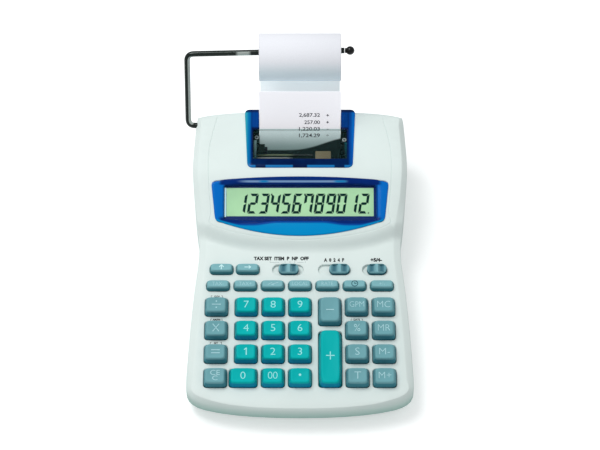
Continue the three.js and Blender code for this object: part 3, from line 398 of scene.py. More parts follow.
def surface(x, y):
    x, y = np.asarray(x, float), np.asarray(y, float)
    foot = band_foot(x)
    deck = DECK_HEIGHT + y * math.tan(DECK_TILT)
    display = DECK_HEIGHT + BAND_RISE + (y - BAND_RUN) * math.tan(DISPLAY_TILT)
    foot_z = DECK_HEIGHT + foot * math.tan(DECK_TILT)
    band_top_z = DECK_HEIGHT + BAND_RISE + foot * math.tan(DISPLAY_TILT)
    band = foot_z + (y - foot) * (band_top_z - foot_z) / BAND_RUN
    shoulder = CREST_Z + (y - CREST_Y) * SHOULDER_RISE / SHOULDER_RUN
    printer = SHOULDER_Z + (y - SHOULDER_Y) * PRINTER_RISE / PRINTER_RUN
    hood = soft_min(soft_min(display, shoulder, CREST_BLEND), printer, CREST_BLEND)
    return soft_max(deck, soft_min(band, hood, BAND_BLEND), FOOT_BLEND)


def off_surface(points, rise):
    """Points of a plan as points that stand a height off the case."""
    points = np.array(points)
    return np.column_stack([points, surface(points[:, 0], points[:, 1]) + rise])


def smoothstep(value, low, high):
    t = np.clip((value - low) / (high - low), 0, 1)
    return t * t * (3 - 2 * t)


def towards_rear(points, size):
    """A size along the case's edge that runs into the rear edge's own."""
    share = smoothstep(points[:, 1], SIDE[-1, 1] - REAR_EDGE_FADE, SIDE[-1, 1])
    return between(size, REAR_EDGE_RADIUS, share)


def edge_radius(points):
    """How far down the shell's rounded edge reaches."""
    x, y = points[:, 0], points[:, 1]
    foot = band_foot(x)
    hood = between(WAIST_EDGE_RADIUS, HOOD_EDGE_RADIUS, smoothstep(y, foot, foot + PRINTER_RUN / 2))
    to_corner = smoothstep(np.abs(x) / HALF_WIDTH, 0.3, 0.9)
    near_front = between(FRONT_EDGE_RADIUS, CORNER_EDGE_RADIUS, to_corner)
    front = between(WAIST_EDGE_RADIUS, near_front, smoothstep(-y, 0, -FRONT_Y))
    return towards_rear(points, np.where(y > foot + BAND_RUN / 2, hood, front))


def edge_width(points):
    """How far in the ridge stands: least at the front edge and most beside the keys."""
    x, y = np.abs(points[:, 0]), points[:, 1]
    width = between(RIDGE_FRONT, RIDGE_CORNER, smoothstep(x / HALF_WIDTH, 0.6, 0.92))
    width = between(width, RIDGE_SIDE, smoothstep(y, FRONT_Y + 9, FRONT_Y + 24))
    width = between(width, RIDGE_HOOD, smoothstep(y, band_foot(x), band_foot(x) + PRINTER_RUN / 2))
    return towards_rear(points, width)


COVER_FRONT_Y = SHOULDER_Y + COVER_FRONT_MARGIN
WINDOW_FRONT_Y = COVER_FRONT_Y + COVER_FRONT_RIM
TEAR_Y = WINDOW_FRONT_Y + WINDOW_DEPTH
TEAR_Z = float(surface(0, TEAR_Y))
STRIP_UP = np.array([math.sin(STRIP_LEAN), math.cos(STRIP_LEAN)])
TOWARDS_PLATEN = np.array([math.cos(STRIP_LEAN), -math.sin(STRIP_LEAN)])
STRIP_GAP = CLEARANCE + TAPE_THICKNESS / 2
TEAR_POINT = np.array([TEAR_Y, TEAR_Z]) + TOWARDS_PLATEN * STRIP_GAP
WRAP_RADIUS = PLATEN_RADIUS + STRIP_GAP
PLATEN_CENTRE = TEAR_POINT - STRIP_UP * PRINT_DEPTH + TOWARDS_PLATEN * WRAP_RADIUS
WEB_SLOT = np.array([REAR_Y, WEB_SLOT_HEIGHT])
PIVOT = np.array([REAR_Y - PIVOT_MARGIN, PIVOT_HEIGHT])
ARM_DIRECTION = np.array([math.cos(ARM_ANGLE), math.sin(ARM_ANGLE)])
ROD_POINT = PIVOT + ARM_DIRECTION * ARM_LENGTH
LEG_X = -(half_width_at(PIVOT[0]) + LEG_OFFSET)
ROD_END_X = TAPE_WIDTH / 2 + ROD_OVERHANG
ROLL_CENTRE = np.array(sum(box_of("paper_roll"), Vector((0, 0, 0))) / 2)[1:]


# Materials
def set_inputs(tree, node, inputs):
    """Gives a node's inputs their numbers, or links them to what other nodes put out."""
    for key, value in inputs.items():
        if isinstance(value, Value):
            tree.links.new(value.socket, node.inputs[key])
        else:
            node.inputs[key].default_value = value


def add(tree, kind, output, inputs=None, **settings):
    """What a new node puts out, with its properties and inputs set."""
    node = tree.nodes.new(kind)
    for key, value in settings.items():
        setattr(node, key, value)
    set_inputs(tree, node, inputs or {})
    return Value(tree, node.outputs[output])


class Value:
    """What a node puts out; numbers work with the usual signs."""

    def __init__(self, tree, socket):
        self.tree = tree
        self.socket = socket

    def __add__(self, other):
        return math_node(self.tree, "ADD", self, other)

    def __sub__(self, other):
        return math_node(self.tree, "SUBTRACT", self, other)

    def __rsub__(self, other):
        return math_node(self.tree, "SUBTRACT", other, self)

    def __mul__(self, other):
        return math_node(self.tree, "MULTIPLY", self, other)

    def __truediv__(self, other):
        return math_node(self.tree, "DIVIDE", self, other)

    def __pow__(self, other):
        return math_node(self.tree, "POWER", self, other)

    def __abs__(self):
        return math_node(self.tree, "ABSOLUTE", self, 0)

    def maximum(self, other):
        return math_node(self.tree, "MAXIMUM", self, other)

    def ramp(self, low, high):
        """0 below low, 1 above high, smooth in between."""
        inputs = {"Value": self, "From Min": low, "From Max": high}
        return add(self.tree, "ShaderNodeMapRange", "Result", inputs, interpolation_type="SMOOTHSTEP")

    def pulse(self, low, high, soft):
        """1 between low and high, 0 outside, with soft ends."""
        return self.ramp(low - soft, low + soft) * (1 - self.ramp(high - soft, high + soft))

    def spread(self, low, high):
        """Maps 0..1 noise to low..high."""
        inputs = {"Value": self, "From Min": 0.3, "From Max": 0.7, "To Min": low, "To Max": high}
        return add(self.tree, "ShaderNodeMapRange", "Result", inputs)


def math_node(tree, operation, first, second):
    return add(tree, "ShaderNodeMath", "Value", {0: first, 1: second}, operation=operation)


def mix(factor, first, second):
    """The first colour where the factor is 0, the second where it is 1."""
    first, second = ((*c, 1) if isinstance(c, tuple) else c for c in (first, second))
    return add(factor.tree, "ShaderNodeMix", 2, {0: factor, 6: first, 7: second}, data_type="RGBA")


def toned(color, share):
    return tuple(c * share for c in color)


class Finish:
    """A material, with short names for the nodes it needs. Distances within the part are in millimetres."""

    def __init__(self, name):
        self.material = bpy.data.materials.new(name)
        self.material.use_nodes = True
        self.tree = self.material.node_tree
        self.shader = self.tree.nodes["Principled BSDF"]

    def set(self, inputs):
        set_inputs(self.tree, self.shader, inputs)

    def given(self, key):
        """What the shader's input is linked to."""
        return Value(self.tree, self.shader.inputs[key].links[0].from_socket)

    def coordinates(self, kind="Object"):
        return add(self.tree, "ShaderNodeTexCoord", kind)

    def noise(self, scale, detail=3.0, roughness=0.5):
        inputs = {"Vector": self.coordinates(), "Scale": scale, "Detail": detail, "Roughness": roughness}
        return add(self.tree, "ShaderNodeTexNoise", "Fac", inputs)

    def bump(self, height, distance):
        """Raises the surface by up to a distance in metres."""
        inputs = {"Height": height, "Distance": distance, "Strength": 1}
        self.set({"Normal": add(self.tree, "ShaderNodeBump", "Normal", inputs)})

    def dot(self, vector, direction):
        inputs = {0: vector, 1: direction}
        return add(self.tree, "ShaderNodeVectorMath", "Value", inputs, operation="DOT_PRODUCT")

    def along(self, origin, direction):
        """How far a point lies along a direction from an origin of the part's own frame."""
        inputs = {0: self.coordinates(), 1: tuple(place(*origin))}
        away = add(self.tree, "ShaderNodeVectorMath", "Vector", inputs, operation="SUBTRACT")
        return self.dot(away, tuple(c / MM for c in direction))

    def axis(self, number):
        """The part's own x, y or z."""
        return self.along((0, 0, 0), [float(i == number) for i in range(3)])

    def facing(self, direction, low, high):
        """1 where the surface turns towards a direction."""
        return self.dot(self.coordinates("Normal"), direction).ramp(low, high)

    def repaint(self, factor, color):
        """Another colour where the factor is 1."""
        self.set({"Base Color": mix(factor, self.given("Base Color"), color)})

    def glow(self, color, strength):
        self.set({"Base Color": color, "Emission Color": color, "Emission Strength": strength})


def plastic(
    name, color, roughness, grain=3200, grain_depth=0.000012, tone=0.035, coat=0.0, specular=0.3, vary=None
):
    """Moulded plastic: a fine spark-eroded grain, a slow drift of tone and a patchy sheen."""
    finish = Finish(name)
    base = mix(finish.noise(28).spread(0, 1), color, toned(color, 1 - tone))
    finish.set({
        "Base Color": vary(finish, base) if vary else base,
        "Roughness": finish.noise(140, 5).spread(roughness - 0.05, roughness + 0.06),
        "Specular IOR Level": specular,
        "Coat Weight": coat,
        "Coat Roughness": 0.12,
    })
    finish.bump(finish.noise(grain, 2), grain_depth)
    return finish


def paper(name, color):
    finish = Finish(name)
    fibres = finish.noise(900, 6, 0.7)
    base = mix(fibres.spread(0, 1), color, toned(color, 0.955))
    finish.set({"Base Color": base, "Roughness": 0.85, "Sheen Weight": 0.05})
    finish.bump(fibres, 0.00003)
    return finish


def shaded_paper(name, color, strength):
    """Paper with painted shade, a little blue where it faces down, and a painted glow (emission) of the
    given strength.
    """
    finish = paper(name, color)
    blue = (color[0] * 0.92, color[1] * 1.04, color[2] * 1.05)
    finish.glow(mix(finish.facing((0, -0.5, -0.87), -0.3, 0.5), finish.given("Base Color"), blue), strength)
    return finish


def strip_paper(name, color):
    """The single thickness of paper, with painted light and shade: a painted glow (emission) brightens it,
    painted shade darkens it below the tear line, and it is painted nearly black where it sinks into the
    printer.
    """
    finish = paper(name, color)
    along = finish.along((0, *TEAR_POINT), (0, *STRIP_UP))
    # Painted shade: below this slanted edge the strip is painted nearly black, standing in for the printer's
    # dark inside
    painted_shade_edge = finish.axis(0).ramp(-12, 34) ** 1.6 * 11 + -19.4
    behind = mix(along.ramp(-19, -1), (0.3, 0.43, 0.4), (0.82, 0.99, 0.95))
    shaded = mix(along.ramp(-0.3, 0.3), behind, (1, 1, 1))
    lit = mix((along - painted_shade_edge).ramp(-0.5, 1.2), (0.006, 0.012, 0.011), shaded)
    inputs = {0: 1, 6: finish.given("Base Color"), 7: lit}
    finish.glow(add(finish.tree, "ShaderNodeMix", 2, inputs, data_type="RGBA", blend_type="MULTIPLY"), 0.42)
    return finish


def roll_side(name, color):
    """The wound edges of the roll: fine rings round its axis."""
    finish = Finish(name)
    inputs = {"Vector": finish.coordinates(), "Scale": 1500, "Distortion": 3, "Detail": 3}
    rings = add(finish.tree, "ShaderNodeTexWave", "Fac", inputs, wave_type="RINGS", rings_direction="X")
    finish.set({"Base Color": mix(rings, toned(color, 0.8), color), "Roughness": 0.9})
    finish.bump(rings, 0.0001)
    return finish


def metal(name, color, roughness):
    """Drawn metal with fine lines along x."""
    finish = Finish(name)
    inputs = {"Vector": finish.coordinates(), "Scale": (40, 4000, 4000)}
    stretched = add(finish.tree, "ShaderNodeMapping", "Vector", inputs)
    lines = add(finish.tree, "ShaderNodeTexNoise", "Fac", {"Vector": stretched, "Scale": 1, "Detail": 4})
    spread = lines.spread(roughness * 0.7, roughness * 1.4)
    finish.set({"Metallic": 1, "Base Color": mix(lines, color, toned(color, 0.82)), "Roughness": spread})
    finish.bump(lines, 0.000004)
    return finish


def clear(name, tint, alpha):
    """Thin clear plastic: mostly see-through, with a polished surface and a trace of haze."""
    finish = Finish(name)
    finish.set({
        "Base Color": (*tint, 1),
        "Alpha": finish.noise(60, 4).spread(alpha, alpha + 0.03),
        "Roughness": finish.noise(300, 3).spread(0.03, 0.08),
        "Specular IOR Level": 0.08,
    })
    return finish


# Blues of the tinted bezel and cover. They carry painted light and shade: bright where light would come
# through the plastic, deep where shade lies behind it; the pale streak is a painted highlight and the teal
# edge painted light
AZURE = (0.001, 0.27, 0.6)
BLUE = (0.002, 0.15, 0.56)
DEEP_BLUE = (0.002, 0.06, 0.32)
NAVY = (0.002, 0.018, 0.15)
LIT_TEAL_EDGE = (0.03, 0.36, 0.46)
HIGHLIGHT_STREAK = (0.19, 0.32, 0.52)


def polished(finish, color):
    finish.set({"Base Color": color, "Roughness": 0.14, "Specular IOR Level": 0.06})
    return finish


def bezel_blue():
    """Tinted clear plastic with painted light and shade: painted bright where the case's white ledge lies
    behind it and deep over the dark mask, with painted shade in wings below the display, a painted dark
    reflection down the right inner edge and a painted highlight streak along the top.
    """
    finish = Finish("tinted_bezel")
    x = finish.axis(0)
    across = abs(x)
    up = finish.along(on_display(0, 0, 0), (0, math.cos(DISPLAY_TILT), math.sin(DISPLAY_TILT)))
    # Painted shade: the deep band below the display reaches lower on both sides, as wings
    lower = up + across.pulse(24, 50, 9) * 1.9
    color = mix(lower.ramp(11.4, 12.8), AZURE, DEEP_BLUE)
    color = mix(lower.ramp(12.8, 14), color, NAVY)
    color = mix(across.ramp(51.8, 53) * up.ramp(15, 17.5), color, BLUE)
    # A painted dark reflection down the right inner edge
    color = mix(x.pulse(52.6, 54, 0.3) * 0.7, color, NAVY)
    color = mix(up.ramp(38.8, 39.8), color, NAVY)
    color = mix(across.ramp(54, 57.5), color, BLUE)
    lower_edge = (across / BEZEL_FRONT_HALF) ** 2 * BEZEL_FRONT_SWEEP + (BEZEL_FRONT - BEZEL_FRONT_SWEEP)
    color = mix(1 - (up - lower_edge).ramp(1.2, 2.6), color, AZURE)
    # A painted highlight streak along the top, cyan in two places
    band = up.pulse(41, 42.4, 0.4)
    color = mix(band * x.pulse(-40, 30, 5), color, HIGHLIGHT_STREAK)
    color = mix((x.pulse(-28, -22, 2) + x.pulse(24, 32, 2)) * band, color, (0.01, 0.22, 0.5))
    return polished(finish, mix(finish.noise(45, 3).spread(0, 0.1), color, BLUE))


def cover_blue():
    """Tinted clear plastic with painted light and shade: painted shade, nearly black, round the window, a
    painted bright line along the front, broken by clips, painted light on the outer edges, stronger on the
    left, and darker along the rear edge.
    """
    finish = Finish("tinted_cover")
    x, y = finish.axis(0), finish.axis(1)
    across, left = abs(x), x * -1
    # Painted shade round the window, where the dark printer lies under the plastic
    color = mix(across.ramp(33.4, 35.4), (0.0006, 0.006, 0.048), DEEP_BLUE)
    color = mix(y.ramp(86, 88) * across.ramp(35, 33), color, (0.001, 0.045, 0.24))
    color = mix(left.ramp(33.8, 36.4), color, (0.001, 0.17, 0.4))
    # Painted light on the left outer edge, stronger than on the right
    color = mix(left.ramp(36, 38.2), color, LIT_TEAL_EDGE)
    color = mix(x.ramp(35.4, 37.6), color, BLUE)
    clips = across.pulse(24, 31, 0.5) + across.pulse(-9, 5, 0.5)
    # A painted bright line along the front, broken by clips
    color = mix(y.pulse(40, 56.1, 0.3) * (1 - clips), color, (0.01, 0.17, 0.45))
    color = mix(y.ramp(98.5, 100.5), color, (0.003, 0.012, 0.07))
    return polished(finish, mix(finish.noise(60, 3).spread(0, 0.08), color, BLUE))


def shaded_low(finish, base):
    """Painted shade: upright faces are painted a deeper, greener tone towards the desk."""
    lit = finish.facing((0, 0, 1), 0.3, 0.97).maximum(finish.axis(2).ramp(10, 25))
    return mix(lit, (0.40, 0.60, 0.545), base)


def key_plastic(name, crown, side, front, low, high):
    """Moulded key cap with painted shade: below a height its sides are painted a deeper tone than the crown,
    and its front deeper still.
    """
    def painted_shade_by_height(finish, base):
        up = finish.along(on_deck(0, 0, 0), (0, -math.sin(DECK_TILT), math.cos(DECK_TILT)))
        return mix(up.ramp(low, high), mix(finish.facing((0, -1, 0), 0.2, 0.75), side, front), base)

    return plastic(name, crown, 0.5, 2600, 0.00001, tone=0.05, specular=0.05, vary=painted_shade_by_height)


def dark_chrome():
    """Polished wire painted nearly black as a painted dark reflection, with painted pale reflections down
    the inner side of its leg and on the front of the rod, left of the middle.
    """
    finish = metal("arm_chrome", (0.02, 0.03, 0.026), 0.2)
    # Painted reflections: a pale line down the leg's inner side and a pale patch on the front of the rod
    leg = finish.facing((1, 0, 0), 0.1, 0.3) - finish.facing((1, 0, 0), 0.8, 0.95)
    rod = finish.axis(0).pulse(-44, -35, 1.5) * finish.facing((0, -1, 0), 0.2, 0.5)
    finish.repaint(leg.maximum(rod), (0.5, 0.56, 0.53))
    finish.set({"Metallic": 0.35})
    return finish


def window_clear():
    """The tear window, with a darker line along its saw edge."""
    finish = clear("window_clear", (0.03, 0.09, 0.09), 0.05)
    line = finish.axis(1).ramp(TEAR_Y - 1.1, TEAR_Y - 0.8) * 0.3
    finish.set({"Alpha": finish.given("Alpha").maximum(line)})
    return finish


def window_wall(name, low_color, high_color):
    """The window's side wall, with painted light: lighter towards the rear, as if it caught more light
    there.
    """
    def painted_light_by_depth(finish, base):
        return mix(finish.axis(1).ramp(63, 82), low_color, base)

    return plastic(name, high_color, 0.3, specular=0.1, vary=painted_light_by_depth)


def half_shaded_steel():
    """The carriage shaft: steel, lit on its left part, with painted shade from there to the right."""
    finish = metal("shaft_steel", (0.3, 0.31, 0.28), 0.35)
    finish.repaint(finish.axis(0).ramp(-10, -4), (0.03, 0.03, 0.028))
    return finish


def brass():
    """The guide rail: brass, lit on the left, with painted shade towards the middle."""
    finish = metal("rail_brass", (0.12, 0.15, 0.08), 0.5)
    finish.repaint(finish.axis(0).ramp(-9, -3), (0.012, 0.014, 0.012))
    finish.set({"Metallic": 0.4})
    return finish


# The case's white plastic, with painted shade on its low upright faces
CASE = plastic("case_white", (0.772, 0.862, 0.835), 0.45, specular=0.2, vary=shaded_low)
BASE = plastic("base_white", (0.66, 0.76, 0.735), 0.5, specular=0.2, vary=shaded_low)
# Each key colour: its crown, then the painted shade of its sides and of its front, and the heights over
# which the shade gives way to the crown
GREY_KEY = key_plastic("key_grey_blue", (0.17, 0.40, 0.44), (0.1, 0.3, 0.35), (0.05, 0.22, 0.28), 3.9, 5.6)
TEAL_KEY = key_plastic("key_teal", (0.002, 0.47, 0.47), (0.001, 0.34, 0.38), (0.0005, 0.25, 0.42), 3.9, 5.6)
SMALL_KEY = key_plastic("key_small", (0.23, 0.49, 0.53), (0.1, 0.3, 0.34), (0.045, 0.19, 0.23), 2.1, 3.7)
KNOB = key_plastic("knob_grey_blue", (0.23, 0.47, 0.52), (0.03, 0.13, 0.18), (0.03, 0.15, 0.2), 0.9, 2.5)
LEGEND = plastic("legend_white", (0.6, 0.88, 0.9), 0.5, tone=0.02, specular=0.05)
TEAL_LEGEND = plastic("legend_on_teal", (0.36, 0.84, 0.84), 0.5, tone=0.02, specular=0.05)
GREY_LEGEND = plastic("legend_on_grey", (0.42, 0.68, 0.72), 0.5, tone=0.02, specular=0.05)
FAINT_LEGEND = plastic("legend_faint", (0.4, 0.66, 0.7), 0.5, tone=0.02, specular=0.05)
DARK_LEGEND = plastic("legend_dark", (0.02, 0.09, 0.12), 0.5, tone=0.05, specular=0.1)
BLACK_INK = plastic("print_black", (0.02, 0.022, 0.026), 0.55, tone=0.1, specular=0.1)
PALE_INK = plastic("print_pale", (0.4, 0.46, 0.46), 0.55, tone=0.1, specular=0.1)
BEZEL = bezel_blue()
COVER = cover_blue()
MASK = plastic("mask_navy", (0.003, 0.024, 0.17), 0.35, tone=0.2, specular=0.15)
LCD = plastic("lcd_green", (0.48, 0.82, 0.47), 0.35, 5000, 0.000004, tone=0.03, specular=0.2)
# A painted highlight: the pale strip on the display panel's left edge
LCD_EDGE_HIGHLIGHT = plastic("lcd_edge_highlight", (0.6, 0.9, 0.97), 0.3, tone=0.03, specular=0.3)
SEGMENT = plastic("lcd_segments", (0.003, 0.028, 0.022), 0.4, tone=0.1, specular=0.02)
LENS = clear("lens_clear", (0.04, 0.12, 0.16), 0.01)
# Papers with painted shade and a painted glow (emission); where given, the last number is the glow's
# strength
PAPER = shaded_paper("paper_white", (0.84, 0.85, 0.9), 0.02)
WEB_PAPER = shaded_paper("paper_web", (0.86, 0.88, 0.9), 0.24)
STRIP_PAPER = strip_paper("paper_strip", (0.89, 0.88, 0.92))
ROLL_SIDE = roll_side("paper_wound", (0.82, 0.82, 0.86))
CARDBOARD = paper("core_cardboard", (0.42, 0.33, 0.22))
PRINT = plastic("print_ink", (0.05, 0.05, 0.07), 0.8, tone=0.3, specular=0.05)
CHROME = dark_chrome()
STEEL = half_shaded_steel()
BRASS = brass()
WINDOW = window_clear()
# A lit and a shaded copy of the window's side wall: painted light and painted shade
LIT_WALL = window_wall("window_wall_lit", (0.02, 0.06, 0.07), (0.2, 0.34, 0.34))
SHADED_WALL = window_wall("window_wall_shaded", (0.002, 0.02, 0.03), (0.003, 0.09, 0.12))
SCREW = plastic("screw_ring", (0.5, 0.56, 0.56), 0.35, tone=0.15)
BLACK = plastic("gloss_black", (0.013, 0.013, 0.014), 0.2, tone=0.15, coat=0.3)
FRAME_BLACK = plastic("frame_black", (0.006, 0.01, 0.008), 0.6, tone=0.2, specular=0.05)
RUBBER = plastic("roller_rubber", (0.02, 0.02, 0.022), 0.8, grain=1500, grain_depth=0.00003, tone=0.2)
TAN = plastic("tan_nylon", (0.2, 0.17, 0.1), 0.45, tone=0.12, specular=0.15)
INK_FOAM = plastic("ink_foam", (0.015, 0.013, 0.02), 0.9, 900, 0.00015, tone=0.3, specular=0.05)
BOARD = plastic("board_green", (0.03, 0.14, 0.06), 0.4, tone=0.1, coat=0.3)
SILICONE = plastic("mat_silicone", (0.1, 0.11, 0.115), 0.6, tone=0.08)


# Meshes, each a skin of vertices and faces
def new_object(name, data):
    made = bpy.data.objects.new(name, data)
    bpy.context.scene.collection.objects.link(made)
    return made


def mesh_of(name, skin):
    vertices, faces = skin
    mesh = bpy.data.meshes.new(name)
    mesh.from_pydata([place(*v) for v in vertices], [], [tuple(map(int, f)) for f in faces])
    return mesh


def evaluated(piece):
    """An object's mesh with its modifiers or its text worked out."""
    graph = bpy.context.evaluated_depsgraph_get()
    return bpy.data.meshes.new_from_object(piece.evaluated_get(graph))


def smooth(mesh, sharp=35):
    mesh.shade_smooth()
    mesh.set_sharp_from_angle(angle=math.radians(sharp))


def make(name, skin, finishes, body, face_finishes=None, sharp=35):
    """A closed mesh from points in the part's own frame, riding on a body if one is given."""
    mesh = mesh_of(name, skin)
    piece = new_object(name, mesh)
    for finish in finishes if isinstance(finishes, list) else [finishes]:
        mesh.materials.append(finish.material)
    if face_finishes is not None:
        mesh.polygons.foreach_set("material_index", np.asarray(face_finishes, np.int32))
    mesh.validate()
    smooth(mesh, sharp)
    if body:
        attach(piece, body)
    return piece


def walls(count, pairs):
    """Faces between pairs of rings that have as many points each."""
    faces = []
    for low, high in pairs:
        for i in range(count):
            after = (i + 1) % count
            faces.append((low * count + i, low * count + after, high * count + after, high * count + i))
    return faces


def flattened(rings):
    return [tuple(p) for ring in rings for p in ring]


def loft(rings):
    """A closed skin over rings that run anticlockwise seen from the last one."""
    count, last = len(rings[0]), len(rings) - 1
    vertices = flattened(rings)
    faces = walls(count, zip(range(last), range(1, last + 1)))
    for base, turned in ((0, True), (last * count, False)):
        hub = len(vertices)
        vertices.append(tuple(np.mean(vertices[base : base + count], axis=0)))
        for i in range(count):
            a, b = base + i, base + (i + 1) % count
            faces.append((b, a, hub) if turned else (a, b, hub))
    return vertices, faces


def hoop(rings):
    """A closed skin over rings in turn and back to the first."""
    return flattened(rings), walls(len(rings[0]), [(k, (k + 1) % len(rings)) for k in range(len(rings))])


def join(skins):
    """Several skins as one."""
    vertices, faces = [], []
    for some, their_faces in skins:
        shift = len(vertices)
        vertices.extend(some)
        faces.extend(tuple(i + shift for i in face) for face in their_faces)
    return vertices, faces


def plain(x, y, z):
    return (x, y, z)


def raised(outline, to_point, z):
    return [to_point(x, y, z) for x, y in outline]


def prism(outline, to_point, low, high):
    return loft([raised(outline, to_point, z) for z in (low, high)])


def block(x_low, x_high, y_low, y_high, z_low, z_high):
    return prism([(x_low, y_low), (x_high, y_low), (x_high, y_high), (x_low, y_high)], plain, z_low, z_high)


def wheel(profile, centre, sides, shift=0.0):
    """Rings round an axis along x, one for each (x, radius)."""
    return [[(x, *(centre + point)) for point in circle(radius, sides, shift)] for x, radius in profile]


def cut(piece, skin):
    """Takes a closed cutter away from a piece."""
    cutter = new_object("cutter", mesh_of("cutter", skin))
    modifier = piece.modifiers.new("cut", "BOOLEAN")
    modifier.operation = "DIFFERENCE"
    modifier.solver = "EXACT"
    modifier.object = cutter
    made = evaluated(piece)
    piece.modifiers.clear()
    piece.data = made
    bpy.data.objects.remove(cutter)


def inside(points, polygon):
    """Which points lie inside a polygon."""
    x, y = points[:, 0][:, None], points[:, 1][:, None]
    a, b = polygon, np.roll(polygon, -1, 0)
    crosses = (a[:, 1] > y) != (b[:, 1] > y)
    rise = np.where(b[:, 1] == a[:, 1], 1, b[:, 1] - a[:, 1])
    at = a[:, 0] + (y - a[:, 1]) * (b[:, 0] - a[:, 0]) / rise
    return (crosses & (x < at)).sum(1) % 2 == 1


def distance_to_line(points, line):
    a, b = line[:-1], line[1:]
    d = b - a
    t = ((points[:, None] - a) * d).sum(2) / (d * d).sum(1)
    nearest = a + np.clip(t, 0, 1)[..., None] * d
    return np.linalg.norm(points[:, None] - nearest, axis=2).min(1)


def triangulate(loops, lines=(), loose=()):
    """Triangles inside the first loop and outside the others, through the lines and the loose points.

    Returns the points in plan, the triangles, and the number that each given point has among the points.
    The loops are rounded as those points are, so that flat triangles along a straight side stay out.
    """
    given, edges = [], []
    for line in [*loops, *lines]:
        start = len(given)
        given += [tuple(p) for p in line]
        edges += [(i, i + 1) for i in range(start, len(given) - 1)]
        if any(line is loop for loop in loops):
            edges.append((len(given) - 1, start))
    found = delaunay_2d_cdt([Vector(p) for p in [*given, *loose]], edges, [], 0, 1e-5)
    points = np.array([tuple(v) for v in found[0]])
    triangles = np.array(found[2])
    middles = points[triangles].mean(1)
    outlines = [np.array(loop, np.float32).astype(float) for loop in loops]
    keep = inside(middles, outlines[0])
    for hole in outlines[1:]:
        keep &= ~inside(middles, hole)
    numbers = {original: i for i, originals in enumerate(found[3]) for original in originals}
    return points, triangles[keep], numbers


# Upper case
def on_plan(outline, to_point):
    return np.array(raised(outline, to_point, 0))[:, :2]


def key_nodes():
    return [n for n in frame["nodes"] if n.startswith("key_") and n != "key_mat"]


def bezel_outline(grow=0.0):
    corners = [
        (BEZEL_FRONT_HALF, BEZEL_FRONT), (BEZEL_REAR_HALF, BEZEL_REAR),
        (-BEZEL_REAR_HALF, BEZEL_REAR), (-BEZEL_FRONT_HALF, BEZEL_FRONT),
    ]
    return inset(bowed_outline(corners, [0, BEZEL_REAR_SWEEP, 0, -BEZEL_FRONT_SWEEP], BEZEL_CORNER), -grow)


def capsule_hole(low, high, depth):
    """A slot with round ends, in the switches' row."""
    size = (high - low, depth, depth / 2 - 0.01)
    return on_plan(rounded_rectangle(*size, (low + high) / 2, -SWITCH_ROW, 8), on_deck)


def case_holes():
    """Outlines in plan of the holes for the keys, the switches and the bezel."""
    holes = []
    for node in key_nodes():
        low, high = deck_box(node)
        size = high - low - 2 * FLANGE_REACH + 2 * CLEARANCE
        radius = KEY_RADIUS + CLEARANCE if size[1] > SMALL_KEY_DEPTH else SMALL_HOLE_RADIUS
        holes.append(on_plan(rounded_rectangle(*size[:2], radius, *(low + high)[:2] / 2), on_deck))
    for centre, width, _, _ in SLOTS.values():
        holes.append(capsule_hole(centre - width / 2, centre + width / 2, SLOT_DEPTH))
    holes.append(on_plan(bezel_outline(CLEARANCE), on_display))
    return holes


GROOVE = smooth_through(GROOVE_POINTS + [(-x, y) for x, y in GROOVE_POINTS[-2::-1]], 10)


def groove_drop(points):
    return GROOVE_DEPTH * np.clip(1 - distance_to_line(points, GROOVE) / GROOVE_HALF_WIDTH, 0, 1)


def offset_line(line, distance):
    along = directions(line)
    return line + np.stack([-along[:, 1], along[:, 0]], 1) * distance


def plate_points(rim, holes):
    """Points that carry the plate's curves, away from its rim, holes and groove."""
    points = []
    for x in np.arange(-76, 76.1, 4):
        stations = [*np.arange(FRONT_Y, -6, 7), *(band_foot(x) + np.arange(-5, BAND_RUN + 5, 0.8))]
        stations += [*np.arange(24, CREST_Y - 3, 7), *(CREST_Y + np.arange(-3.2, 9.6, 0.8))]
        stations += [*np.arange(SHOULDER_Y + 7, REAR_Y, 7)]
        points += [(x, y) for y in stations]
    points = np.array(points)
    keep = inside(points, rim)
    for line in [rim, *holes]:
        keep &= distance_to_line(points, np.vstack([line, line[:1]])) > 0.7
    keep &= distance_to_line(points, GROOVE) > GROOVE_HALF_WIDTH + 0.5
    for hole in holes:
        keep &= ~inside(points, hole)
    return points[keep]


def at_seam(outline):
    return np.column_stack([outline, np.full(len(outline), float(SEAM_HEIGHT))])


